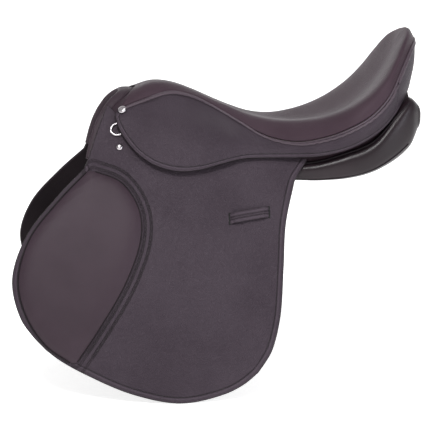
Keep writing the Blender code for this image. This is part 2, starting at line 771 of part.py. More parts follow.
def panel_ring(x, inner, outer, depth_in, depth_out, sides=14, shrink=0.0):
    a, b = Vector((0, -inner[0], inner[1])), Vector((0, -outer[0], outer[1]))
    chord = (b - a).normalized()
    up = Vector((0, chord.z, -chord.y))
    if up.z < 0:
        up = -up
    ring = []
    for i in range(sides):
        ang = 2 * math.pi * (i + 0.5) / sides
        c, s = math.cos(ang), math.sin(ang)
        u = math.copysign(abs(c) ** 0.62, c) * 0.5 + 0.5
        v = math.copysign(abs(s) ** 0.62, s) * 0.5 + 0.5
        depth = depth_in + (depth_out - depth_in) * u
        p = a + (b - a) * u + up * depth * v
        ring.append(Vector((x, p.y, p.z)))
    return ring


def panel_rings(count):
    rings = []
    flat = [(x, i[0], i[1], o[0], o[1], d, e) for x, i, o, d, e in PANEL]
    first = [(v[0], v[1], v[2]) for v in flat]
    second = [(v[0], v[3], v[4]) for v in flat]
    third = [(v[0], v[5], v[6]) for v in flat]
    for k in range(count + 1):
        s = k / count
        p, q, r = spline(first, s), spline(second, s), spline(third, s)
        rings.append(panel_ring(p.x, (p.y, p.z), (q.y, q.z), r.y, r.z))
    return rings


def build_panels(leather, wool):
    rings = panel_rings(14)
    n = len(rings[0])
    verts, faces = grid_faces(rings, wrap=True)
    first, last = len(verts), len(verts) + 1
    verts = verts + [sum(rings[0], Vector()) / n, sum(rings[-1], Vector()) / n]
    base = (len(rings) - 1) * n
    caps = [((i + 1) % n, i, first) for i in range(n)]
    caps += [(base + i, base + (i + 1) % n, last) for i in range(n)]

    def flock(name):
        normals = offset_normals(verts, faces + caps, (0, 0, 1))
        skin = triangles(verts, faces + caps)
        centre = sum(verts, Vector()) / len(verts)
        test = sum(nrm.dot(v - centre) for nrm, v in zip(normals, verts))
        sign = -1 if test > 0 else 1
        pts = [v + nrm * sign * (2.0 + GAP) for v, nrm in zip(verts, normals)]
        return finish(name, pts, skin, wool)
    pair(flock, "panel_flock")

    def cover(name):
        normals = offset_normals(verts, faces + caps, (0, 0, 1))
        centre = sum(verts, Vector()) / len(verts)
        test = sum(nrm.dot(v - centre) for nrm, v in zip(normals, verts))
        sign = 1 if test > 0 else -1
        keep = []
        for j in range(len(rings) - 1):
            for i in range(n):
                open_top = 4 <= j <= 7 and i in (3,)
                if not open_top:
                    keep.append(faces[j * n + i])
        keep = triangles(verts, keep + caps)
        m = len(verts)
        pts = list(verts) + [v - nrm * sign * 2.0 for v, nrm in zip(verts, normals)]
        count = {}
        for f in keep:
            for a in range(len(f)):
                e = tuple(sorted((f[a], f[(a + 1) % len(f)])))
                count[e] = count.get(e, 0) + 1
        solid = list(keep) + [tuple(m + i for i in reversed(f)) for f in keep]
        for f in keep:
            for a in range(len(f)):
                i, j = f[a], f[(a + 1) % len(f)]
                if count[tuple(sorted((i, j)))] == 1:
                    solid.append((j, i, m + i, m + j))
        return finish(name, pts, solid, leather)
    pair(cover, "panel_cover")


# ---- pommel trim, nails and rings -----------------------------------------
def build_trim(leather, metal):
    half = sample([(x, -y, z) for x, y, z in FACING], 8)
    path = list(reversed(half)) + [Vector((p.x, -p.y, p.z)) for p in half[1:]]
    rings = []
    for i, p in enumerate(path):
        along = frame_at(path, i)
        across = (Vector((-1, 0, 0)) - along * Vector((-1, 0, 0)).dot(along)).normalized()
        up = along.cross(across).normalized()
        wide = 13 + 8 * max(0.0, 1 - abs(p.y) / 45)
        rings.append(ring_box(p, across, up, wide, 7, 0.45))
    sweep("pommel_facing", rings, leather)

    def nail(name):
        c = Vector((-207.5, -63.5, 101.5))
        out = Vector((-0.30, -0.80, 0.52)).normalized()
        return turned(name, c + out * 2.2, out,
                      ((0, 5.6), (0.9, 5.9), (2.2, 5.0), (3.2, 3.0), (3.5, 1.0)), metal)
    pair(nail, "pommel_nail")

    def stud(name):
        c = hung(-213, 52)
        out = Vector((0, -0.894, 0.447))
        return turned(name, c + out * (FLAP_T / 2 + GAP), out,
                      ((0, 4.4), (0.8, 4.7), (2.0, 4.0), (3.0, 2.4), (3.3, 0.8)), metal)
    pair(stud, "flap_stud")

    centre, axis, ahead, out = dee_frame()

    def dee(name):
        path = []
        for i in range(20):
            c, d = math.cos(math.pi * i / 10), math.sin(math.pi * i / 10)
            if c < 0:
                c, d = -abs(c) ** 0.5, math.copysign(abs(d) ** 0.5, d)
            path.append(centre + ahead * (4.0 + (9.5 if c > 0 else 4.0) * c) + axis * 8.4 * d)
        rings = []
        for i, p in enumerate(path):
            along = frame_at(path, i, closed=True)
            across = along.cross(out).normalized()
            rings.append(ring_round(p, across, out, WIRE_R, 6))
        obj = sweep(name, rings, metal, closed=True)
        pivot(obj, centre)
        return obj
    pair(dee, "pommel_dee")

    def staple(name):
        rings = []
        low = -WIRE_R - 0.45
        inner = [(-9.0, low - 0.2), (-2.2, low - 0.2), (-1.9, 1.0), (-0.6, 2.2), (1.0, 2.2),
                 (2.1, 1.0), (2.3, low - 0.2), (3.2, low - 0.2)]
        outer = [(-9.0, low + 0.8), (-3.2, low + 0.8), (-3.0, 1.4), (-1.1, 3.2), (1.5, 3.2),
                 (3.1, 1.4), (3.3, low + 0.8), (3.4, low + 0.8)]
        for d in (-2.4, 2.4):
            rings.append([centre + ahead * u + out * h + axis * d
                          for u, h in inner + list(reversed(outer))])
        return sweep(name, rings, leather, smooth=False)
    pair(staple, "dee_chape")


def dee_frame():
    """Middle of the ring's straight side, its direction, forwards, outwards."""
    out = Vector((0, -0.894, 0.447)).normalized()
    plane_up = Vector((0, 0.447, 0.894)).normalized()
    ahead = (Vector((-0.92, 0, 0)) - plane_up * 0.39).normalized()
    axis = (plane_up * 0.92 - Vector((0.39, 0, 0))).normalized()
    centre = hung(-211.5, 76.5) + out * (FLAP_T / 2 + GAP + WIRE_R + 1.0)
    return centre, axis, ahead, out


def main():
    for obj in list(bpy.data.objects):
        bpy.data.objects.remove(obj)
    grained = material("grained_leather", (0.075, 0.062, 0.070), 0.0, 0.55)
    smooth = material("smooth_leather", (0.060, 0.042, 0.050), 0.0, 0.42)
    panel = material("panel_leather", (0.045, 0.030, 0.036), 0.0, 0.32)
    strap = material("strap_leather", (0.050, 0.035, 0.035), 0.0, 0.5)
    foam = material("seat_foam_grey", (0.55, 0.53, 0.48), 0.0, 0.9)
    linen = material("linen_web", (0.55, 0.47, 0.33), 0.0, 0.9)
    wool = material("wool_flock", (0.75, 0.72, 0.65), 0.0, 0.95)
    wood = material("beech_tree", (0.45, 0.28, 0.14), 0.0, 0.6)
    steel = material("forged_steel", (0.42, 0.42, 0.43), 1.0, 0.35)
    nickel = material("nickel_plate", (0.80, 0.78, 0.78), 1.0, 0.18)
    build_seat(smooth, foam, linen, smooth)
    build_tree(wood, steel)
    build_bars(steel)
    build_skirts(grained)
    build_flaps(grained, smooth)
    build_under(strap, panel)
    build_straps(strap, linen)
    build_panels(panel, wool)
    build_trim(grained, nickel)


main()
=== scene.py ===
"""English saddle: leather, padding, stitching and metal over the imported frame."""

import math

import bmesh
import bpy
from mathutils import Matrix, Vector, noise

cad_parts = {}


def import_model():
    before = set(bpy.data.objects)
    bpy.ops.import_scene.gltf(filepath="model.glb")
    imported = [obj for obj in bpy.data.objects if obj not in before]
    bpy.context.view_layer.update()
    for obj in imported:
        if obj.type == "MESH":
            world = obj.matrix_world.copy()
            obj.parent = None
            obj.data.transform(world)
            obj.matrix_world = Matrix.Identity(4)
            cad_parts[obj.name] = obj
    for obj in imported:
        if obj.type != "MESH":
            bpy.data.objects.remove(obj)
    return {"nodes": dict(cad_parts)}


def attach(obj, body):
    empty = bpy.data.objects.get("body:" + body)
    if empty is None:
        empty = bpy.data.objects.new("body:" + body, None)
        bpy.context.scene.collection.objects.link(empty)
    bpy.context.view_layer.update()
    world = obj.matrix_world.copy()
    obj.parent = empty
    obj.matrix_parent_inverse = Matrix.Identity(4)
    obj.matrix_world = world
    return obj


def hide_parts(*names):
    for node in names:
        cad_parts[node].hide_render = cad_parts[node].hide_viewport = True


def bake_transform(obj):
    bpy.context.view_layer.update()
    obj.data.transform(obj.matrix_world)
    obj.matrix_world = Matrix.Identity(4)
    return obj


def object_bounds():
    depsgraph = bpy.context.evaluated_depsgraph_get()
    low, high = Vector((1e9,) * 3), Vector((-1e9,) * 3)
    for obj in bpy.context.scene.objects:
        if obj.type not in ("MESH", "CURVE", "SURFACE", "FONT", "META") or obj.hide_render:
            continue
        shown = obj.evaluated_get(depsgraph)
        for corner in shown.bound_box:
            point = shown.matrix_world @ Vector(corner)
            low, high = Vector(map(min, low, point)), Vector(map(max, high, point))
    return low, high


# ---- driving sizes, millimetres ------------------------------------------
MM = 0.001
FLAP_T = 3.5
SKIRT_T = 3.5
SEAT_T = 2.6
SWEAT_T = 2.5
SWEAT_IN = 17.0
STRAP_IN = 9.5
STRAP_T = 3.0
STRAP_W = 24.0
STRAP_X = (-158.0, -108.0, -58.0)
STRAP_TOP = 8.0
STRAP_END = -236.0
HOLE_R = 2.4
HOLE_PITCH = 22.5
HOLE_COUNT = 6
GAP = 0.35
CREASE = 6.5              # creased line inside a leather edge
STITCH = 4.2              # pitch of the stitches
FLAP_SEAM = 6.8           # stitch rows lie this far inside the edges
SKIRT_SEAM = 6.9
SWEAT_SEAM = 7.0
PAD_ROWS = (4.6, 7.0, 13.2, 15.6)     # stitch rows behind the knee pad
WELT_R = 1.5              # piping round the seat
WELT_CLEAR = 3.4          # skirt leather starts this far from that piping
PIPING_R = 1.9            # piping at the top of the skirt and the cantle leather
SEAT_END = 0.985          # part of the seat's width that the seat leather covers
SKIRT_END = 0.803         # part of the SKIRT table that is skirt; the rest is cantle
PANEL_SEAM_END = 0.92
CAMERA = dict(azimuth=-4.8, elevation=11.0, distance=2.4, lens=135.7,
              target=(-0.0697, 0.0, -0.063))

HINGE_FRONT = (-262.0, 24.0)
HINGE_REAR = (30.0, 5.0)
SKIRT_HINGE_FRONT = (-214.0, 92.0)
SKIRT_HINGE_REAR = (-40.0, 45.0)

SEAT = [
    ((-187, 130.0), (-197, 34, 124.0), (-211, 58, 104.0)),
    ((-162, 137.0), (-166, 28, 134.0), (-180, 50, 115.0)),
    ((-135, 134.5), (-136, 22, 133.0), (-139, 38, 126.0)),
    ((-105, 124.0), (-105, 18, 123.0), (-106, 31, 118.5)),
    ((-77, 111.0), (-77, 20, 110.0), (-77, 31, 104.0)),
    ((-50, 99.0), (-50, 26, 98.0), (-49, 42, 88.0)),
    ((-20, 88.0), (-19, 40, 86.0), (-16, 63, 69.0)),
    ((10, 81.5), (12, 58, 81.0), (9, 80, 61.0)),
    ((45, 79.5), (46, 78, 83.0), (40, 97, 59.0)),
    ((80, 84.0), (80, 95, 91.0), (78, 112, 68.0)),
    ((112, 96.0), (110, 106, 104.0), (110, 121, 82.0)),
    ((140, 116.0), (138, 110, 123.0), (138, 119, 98.0)),
    ((160, 139.0), (160, 106, 146.0), (163, 110, 123.0)),
    ((176, 163.0), (176, 92, 170.0), (184, 86, 158.0)),
    ((186, 182.0), (191, 68, 194.0), (201, 58, 184.0)),
    ((192, 194.0), (202, 38, 206.0), (212, 30, 194.0)),
    ((195, 200.0), (207, 9, 211.0), (217, 7, 197.0)),
]
SKIRT = [
    ((-213, 60, 102), (-215, 62, 99), (-217.5, 66, 95)),
    ((-196, 56, 109), (-205, 70, 93), (-212, 78, 78)),
    ((-174, 48, 118), (-190, 76, 87), (-202, 86, 62)),
    ((-150, 41, 125), (-169, 89, 74), (-186, 97, 45)),
    ((-128, 35, 125.5), (-147, 94, 70), (-164, 105, 31)),
    ((-106, 31, 118.5), (-120, 96, 68), (-134, 110, 23)),
    ((-84, 31, 107), (-94, 96, 65), (-104, 109, 24)),
    ((-60, 37, 94), (-67, 94, 61), (-74, 106, 31)),
    ((-35, 51, 80), (-38, 86, 56), (-42, 99, 37)),
    ((-5, 70, 64), (-6, 88, 52), (-8, 97, 38)),
    ((30, 91, 59), (31, 99, 50), (33, 102, 39)),
    ((68, 108, 65), (67, 112, 54), (66, 110, 42)),
    ((105, 120, 80), (103, 120, 66), (101, 112, 50)),
    ((136, 119, 97), (134, 120, 82), (131, 111, 63)),
    ((162, 111, 122), (160, 112, 103), (156, 103, 79)),
    ((184, 86, 158), (181, 91, 130), (178, 88, 101)),
    ((202, 56, 184), (201, 58, 152), (196, 56, 121)),
    ((213, 26, 195), (212, 28, 163), (206, 28, 131)),
    ((217, 0, 197), (215.5, 0, 165), (209, 0, 134)),
]
PANEL = [
    (-230, (42, 54), (84, -22), 7, 7),
    (-222, (36, 58), (90, -40), 11, 11),
    (-180, (32, 48), (93, -50), 13, 14),
    (-130, (30, 34), (91, -45), 14, 15),
    (-80, (29, 22), (89, -26), 20, 18),
    (-30, (28, 11), (88, -8), 22, 20),
    (20, (28, 6), (91, 0), 26, 23),
    (70, (28, 4), (101, 0), 33, 31),
    (110, (28, 7), (105, 3), 44, 42),
    (150, (29, 16), (103, 13), 53, 50),
    (180, (32, 30), (94, 28), 76, 70),
    (201, (38, 46), (84, 46), 74, 73),
    (213, (46, 64), (75, 64), 50, 49),
]
FACING = [(-201, 0, 125.5), (-206, 22, 121.5), (-224, 41, 107), (-239, 54.5, 84),
          (-248, 66, 60), (-254, 78, 36)]
FLAP_FRONT = [(-228, 108), (-243, 72), (-254, 42), (-262, 24), (-300, -12), (-343, -63),
              (-362, -117), (-352, -165), (-336, -189), (-318, -208)]
FLAP_BOTTOM = [(-318, -208), (-298, -223), (-262, -243), (-200, -270), (-135, -283),
               (-75, -272), (-48, -259), (-30, -245)]
FLAP_REAR = [(50, 33), (38, 17), (30, 5), (15, -50), (9, -110), (2, -175),
             (-10, -216), (-20, -232), (-30, -245)]
FLAP_TOP = [(-228, 108), (-208, 88), (-165, 68), (-80, 54), (0, 42), (50, 33)]
KNEE_FRONT = [(-257, 21), (-300, -20), (-338, -66), (-354, -117), (-345, -162),
              (-318, -203), (-284, -227)]
KNEE_REAR = [(-250, 20.5), (-212, 5), (-189, -29), (-187, -66), (-208, -122),
             (-245, -181), (-278, -227)]


# ---- curves ---------------------------------------------------------------
def spline(points, t, start=None, end=None):
    """Point at t (0..1) on a smooth curve through the points."""
    pts = [Vector(p) for p in points]
    knots = [0.0]
    for a, b in zip(pts, pts[1:]):
        knots.append(knots[-1] + math.sqrt((b - a).length) + 1e-9)
    x = t * knots[-1]
    k = max(i for i in range(len(pts) - 1) if knots[i] <= x + 1e-12)

    def slope(i):
        if i == 0:
            return (pts[1] - pts[0]) / knots[1] if start is None else Vector(start)
        if i == len(pts) - 1:
            if end is not None:
                return Vector(end)
            return (pts[i] - pts[i - 1]) / (knots[i] - knots[i - 1])
        a, b = knots[i] - knots[i - 1], knots[i + 1] - knots[i]
        return ((pts[i] - pts[i - 1]) / a * b + (pts[i + 1] - pts[i]) / b * a) / (a + b)

    h = knots[k + 1] - knots[k]
    u = (x - knots[k]) / h
    return (pts[k] * (2 * u ** 3 - 3 * u ** 2 + 1) + slope(k) * h * (u ** 3 - 2 * u ** 2 + u)
            + pts[k + 1] * (3 * u ** 2 - 2 * u ** 3) + slope(k + 1) * h * (u ** 3 - u ** 2))


def flip(p):
    """The same point on the other side of the saddle."""
    return Vector((p.x, -p.y, p.z))


def column(table, part):
    """One curve of a table, on the near side."""
    return [(row[part][0], -row[part][1], row[part][2]) for row in table]


def resample(fine, count):
    run = [0.0]
    for a, b in zip(fine, fine[1:]):
        run.append(run[-1] + (b - a).length)
    out, j = [], 0
    for i in range(count + 1):
        want = run[-1] * i / count
        while j < len(fine) - 2 and run[j + 1] < want:
            j += 1
        span = max(run[j + 1] - run[j], 1e-9)
        out.append(fine[j].lerp(fine[j + 1], min(max((want - run[j]) / span, 0), 1)))
    return out


def sample(points, count, start=0.0, end=1.0):
    """Evenly spaced points along the curve, by length."""
    return resample([spline(points, start + (end - start) * i / 300) for i in range(301)],
                    count)


def drape(x, z):
    """Half width of the flap's middle layer at a height."""
    if z > 0:
        return 108.0 - 0.5 * z
    return 108.0 - 0.5 * z - 0.00055 * z * z


def hung(x, z, inward=0.0):
    """Point of a layer hanging on the near side, inward of the flap's middle."""
    return Vector((x, -(drape(x, z) - inward), z))


def patch(top, bottom, front, rear, across, down):
    """Grid over four border curves given as lists of (x, z)."""
    t = sample([Vector((*p, 0)) for p in top], across)
    b = sample([Vector((*p, 0)) for p in bottom], across)
    f = sample([Vector((*p, 0)) for p in front], down)
    r = sample([Vector((*p, 0)) for p in rear], down)
    rows = []
    for j in range(down + 1):
        v = j / down
        row = []
        for i in range(across + 1):
            u = i / across
            p = (t[i] * (1 - v) + b[i] * v + f[j] * (1 - u) + r[j] * u
                 - (t[0] * (1 - u) * (1 - v) + t[-1] * u * (1 - v)
                    + b[0] * (1 - u) * v + b[-1] * u * v))
            row.append((p.x, p.y))
        rows.append(row)
    return rows


# ---- meshes ---------------------------------------------------------------
def link(name, verts, faces, mats, values=None, pick=None):
    """New closed piece from points in millimetres, its normals outward."""
    mesh = bpy.data.meshes.new(name)
    mesh.from_pydata([tuple(v * MM) for v in verts], [], faces)
    for mat in mats if isinstance(mats, (list, tuple)) else [mats]:
        mesh.materials.append(mat)
    for poly in mesh.polygons:
        poly.use_smooth = True
        if pick:
            poly.material_index = pick[poly.index]
    for key, data in (values or {}).items():
        layer = mesh.attributes.new(key, "FLOAT", "POINT")
        layer.data.foreach_set("value", data)
    mesh.update()
    bm = bmesh.new()
    bm.from_mesh(mesh)
    bmesh.ops.recalc_face_normals(bm, faces=bm.faces)
    bm.to_mesh(mesh)
    bm.free()
    return placed(name, mesh)


def placed(name, data):
    obj = bpy.data.objects.new(name, data)
    bpy.context.scene.collection.objects.link(obj)
    return obj


def ring_faces(count, m, closed=False):
    """Faces between rings of m points that follow each other, with the two ends."""
    faces = []
    for i in range(count if closed else count - 1):
        j = (i + 1) % count
        for k in range(m):
            q = (k + 1) % m
            faces.append((i * m + k, i * m + q, j * m + q, j * m + k))
    if not closed:
        faces.append(tuple(reversed(range(m))))
        faces.append(tuple(range((count - 1) * m, count * m)))
    return faces


def normals_of(rows, toward=(0, -1, 0.3)):
    ny, nx = len(rows), len(rows[0])
    out = []
    total = Vector((0, 0, 0))
    for j in range(ny):
        line = []
        for i in range(nx):
            du = rows[j][min(i + 1, nx - 1)] - rows[j][max(i - 1, 0)]
            dv = rows[min(j + 1, ny - 1)][i] - rows[max(j - 1, 0)][i]
            n = du.cross(dv)
            n = n.normalized() if n.length > 1e-9 else Vector((0, 0, 0))
            total += n
            line.append(n)
        out.append(line)
    if total.dot(Vector(toward)) < 0:
        out = [[-n for n in line] for line in out]
    for j in range(ny):
        for i in range(nx):
            if out[j][i].length < 0.5:
                near = out[min(max(j, 1), ny - 2)][min(max(i, 1), nx - 2)]
                out[j][i] = near if near.length > 0.5 else Vector(toward).normalized()
    return out


def border(ny, nx):
    loop = [(0, i) for i in range(nx)]
    loop += [(j, nx - 1) for j in range(1, ny)]
    loop += [(ny - 1, i) for i in range(nx - 2, -1, -1)]
    loop += [(j, 0) for j in range(ny - 2, 0, -1)]
    return loop


def slab(name, rows, outer, inner, mat, toward=(0, -1, 0.3), rim=0.9, lift=None,
         values=None, back=None):
    """Leather piece over a grid: two faces and a rounded edge all round.

    outer and inner are offsets along the surface's normal; lift(j, i) adds to the
    outer one.  values maps an attribute's name to a function of (j, i)."""
    ny, nx = len(rows), len(rows[0])
    nrm = normals_of(rows, toward)
    top = lambda j, i: outer + (lift(j, i) if lift else 0.0)
    verts = [rows[j][i] + nrm[j][i] * top(j, i) for j in range(ny) for i in range(nx)]
    n = len(verts)
    verts += [rows[j][i] + nrm[j][i] * inner for j in range(ny) for i in range(nx)]
    faces, pick = [], []
    for j in range(ny - 1):
        for i in range(nx - 1):
            a, b, c, d = j * nx + i, j * nx + i + 1, (j + 1) * nx + i + 1, (j + 1) * nx + i
            faces.append((a, b, c, d))
            faces.append((n + d, n + c, n + b, n + a))
            pick += [0, 1 if back else 0]
    loop = border(ny, nx)
    m = len(loop)
    outward = []
    for k, (j, i) in enumerate(loop):
        (ja, ia), (jb, ib) = loop[k - 1], loop[(k + 1) % m]
        outward.append((rows[jb][ib] - rows[ja][ia]).cross(nrm[j][i]).normalized())
    centre = sum((rows[j][i] for j, i in loop), Vector()) / m
    if sum(o.dot(rows[j][i] - centre) for o, (j, i) in zip(outward, loop)) < 0:
        outward = [-o for o in outward]
    rings = [[j * nx + i for j, i in loop]]
    edge_flag = [0.0] * (2 * n)
    for k in (1, 2, 3):
        phi = math.pi / 2 - math.pi * k / 4
        ring = []
        for (j, i), out in zip(loop, outward):
            mid, half = (top(j, i) + inner) / 2, (top(j, i) - inner) / 2
            verts.append(rows[j][i] + nrm[j][i] * (mid + half * math.sin(phi))
                         + out * min(half, 2.2) * rim * math.cos(phi))
            ring.append(len(verts) - 1)
            edge_flag.append(1.0)
        rings.append(ring)
    rings.append([n + j * nx + i for j, i in loop])
    for a, b in zip(rings, rings[1:]):
        for k in range(m):
            faces.append((a[(k + 1) % m], a[k], b[k], b[(k + 1) % m]))
            pick.append(0)
    data = {"rim": edge_flag}
    for key, fn in (values or {}).items():
        flat = [float(fn(j, i)) for j in range(ny) for i in range(nx)]
        data[key] = flat + flat + [flat[j * nx + i] for _ in range(3) for j, i in loop]
    return link(name, verts, faces, [mat, back] if back else mat, data, pick)


def tube(name, path, radius, mat, sides=10, closed=False):
    """Round section along a path."""
    verts = []
    n = len(path)
    up = None
    for i, p in enumerate(path):
        a = path[(i - 1) % n] if closed else path[max(i - 1, 0)]
        b = path[(i + 1) % n] if closed else path[min(i + 1, n - 1)]
        along = (b - a).normalized()
        if up is None:
            up = along.orthogonal().normalized()
        up = (up - along * up.dot(along)).normalized()
        side = along.cross(up)
        for k in range(sides):
            ang = 2 * math.pi * k / sides
            verts.append(p + up * radius * math.cos(ang) + side * radius * math.sin(ang))
    return link(name, verts, ring_faces(n, sides, closed), mat)


def band(name, path, section, mat):
    """Section of (sideways, outwards) points carried along a path of frames."""
    verts = []
    for i, (p, side, out) in enumerate(path):
        for u, h in section(i / (len(path) - 1)):
            verts.append(p + side * u + out * h)
    return link(name, verts, ring_faces(len(path), len(section(0.0))), mat)


def turned(name, base, axis, profile, mat, sides=40):
    """Lathe piece; the profile is a list of (distance along the axis, radius)."""
    axis = Vector(axis).normalized()
    a = axis.orthogonal().normalized()
    b = axis.cross(a)
    verts = []
    for d, r in profile:
        for k in range(sides):
            ang = 2 * math.pi * k / sides
            verts.append(Vector(base) + axis * d + a * r * math.cos(ang)
                         + b * r * math.sin(ang))
    return link(name, verts, ring_faces(len(profile), sides), mat)


def stitches(name, lines, mat, length=3.0, radius=0.45, pitch=STITCH):
    """Rows of thread; each line is a list of (point, outward normal)."""
    verts, faces = [], []
    for line in lines:
        run = [0.0]
        for (a, _), (b, _) in zip(line, line[1:]):
            run.append(run[-1] + (b - a).length)
        count = int(run[-1] / pitch)
        j = 0
        for k in range(count):
            want = (k + 0.5) * run[-1] / count
            while j < len(line) - 2 and run[j + 1] < want:
                j += 1
            f = (want - run[j]) / max(run[j + 1] - run[j], 1e-9)
            p = line[j][0].lerp(line[j + 1][0], f)
            n = line[j][1].lerp(line[j + 1][1], f).normalized()
            along = (line[j + 1][0] - line[j][0]).normalized()
            side = along.cross(n).normalized()
            base = len(verts)
            for s, r, drop in ((-0.5, 0.35, 0.45), (-0.36, 0.9, 0.05), (0.0, 1.0, 0.18),
                               (0.36, 0.9, 0.05), (0.5, 0.35, 0.45)):
                c = p + along * length * s + n * radius * (drop * -1.0 + 0.35)
                for q in range(6):
                    ang = math.pi * q / 3
                    verts.append(c + side * radius * r * math.cos(ang)
                                 + n * radius * r * math.sin(ang))
            for s in range(4):
                for q in range(6):
                    a, b = base + s * 6 + q, base + s * 6 + (q + 1) % 6
                    faces.append((a, b, b + 6, a + 6))
            faces.append(tuple(base + q for q in reversed(range(6))))
            faces.append(tuple(base + 24 + q for q in range(6)))
    return link(name, verts, faces, mat)


def mirrored(obj, name):
    mesh = obj.data.copy()
    for v in mesh.vertices:
        v.co.y = -v.co.y
    mesh.flip_normals()
    return placed(name, mesh)


SIDES = (("near_", -1), ("off_", 1))


def both(obj, label, body, *nodes, slot=None, padded=None, bend=None):
    """Mirror a near piece and stand for CAD nodes; both ride on their bodies unless a bend is
    given, and then their places are only baked.

    body and nodes hold their names without the side; "saddle" is the fixed body."""
    obj.name = "near_" + label
    pieces = [obj, mirrored(obj, "off_" + label)]
    for (side, sign), piece in zip(SIDES, pieces):
        for node in nodes:
            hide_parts(side + node)
        if bend is None:
            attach(piece, body if body == "saddle" else side + body)
        else:
            a, b = Vector(bend[0]) * MM, Vector(bend[1]) * MM
            if sign > 0:
                a.y, b.y = -a.y, -b.y
            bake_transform(piece)
    return pieces


def single(obj, node=None):
    """Ride a piece of the middle on the fixed body and stand for one CAD node."""
    if node:
        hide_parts(node)
    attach(obj, "saddle")


# ---- finishes -------------------------------------------------------------
class Nodes:
    """Short way to wire a node material."""

    def __init__(self, name):
        self.mat = bpy.data.materials.new(name)
        self.mat.use_nodes = True
        self.tree = self.mat.node_tree
        self.shader = self.tree.nodes["Principled BSDF"]
        self.coord = self.tree.nodes.new("ShaderNodeTexCoord").outputs["Object"]

    def add(self, kind, inputs=None, **settings):
        node = self.tree.nodes.new("ShaderNode" + kind)
        for key, value in settings.items():
            setattr(node, key, value)
        for key, value in (inputs or {}).items():
            self.put(node.inputs[key], value)
        return node

    def put(self, socket, value):
        if isinstance(value, bpy.types.NodeSocket):
            self.tree.links.new(value, socket)
        else:
            socket.default_value = value

    def math(self, op, a, b=0.0, c=0.0):
        return self.add("Math", {0: a, 1: b, 2: c}, operation=op).outputs[0]

    def ramp(self, value, low, high, start=0.0, stop=1.0, smooth=True):
        node = self.add("MapRange", {"Value": value, "From Min": low, "From Max": high,
                                     "To Min": start, "To Max": stop})
        node.interpolation_type = "SMOOTHSTEP" if smooth else "LINEAR"
        return node.outputs["Result"]

    def noise(self, scale, detail=3.0, rough=0.5, vector=None):
        return self.add("TexNoise", {"Vector": vector or self.coord, "Scale": scale,
                                     "Detail": detail, "Roughness": rough}).outputs[0]

    def mix(self, factor, a, b):
        node = self.add("Mix", data_type="RGBA")
        self.put(node.inputs["Factor"], factor)
        for key, value in (("A", a), ("B", b)):
            socket = [s for s in node.inputs if s.name == key and s.type == "RGBA"][0]
            self.put(socket, value)
        return [s for s in node.outputs if s.type == "RGBA"][0]

    def bump(self, height, distance, strength=1.0, normal=None):
        node = self.add("Bump", {"Height": height, "Distance": distance,
                                 "Strength": strength})
        if normal is not None:
            self.put(node.inputs["Normal"], normal)
        return node.outputs[0]

    def done(self, **values):
        for key, value in values.items():
            self.put(self.shader.inputs[key.replace("_", " ")], value)
        return self.mat


def rgb(r, g, b):
    """Linear colour from 0..255 display values."""
    def lin(c):
        c /= 255.0
        return c / 12.92 if c <= 0.04045 else ((c + 0.055) / 1.055) ** 2.4
    return (lin(r), lin(g), lin(b), 1.0)


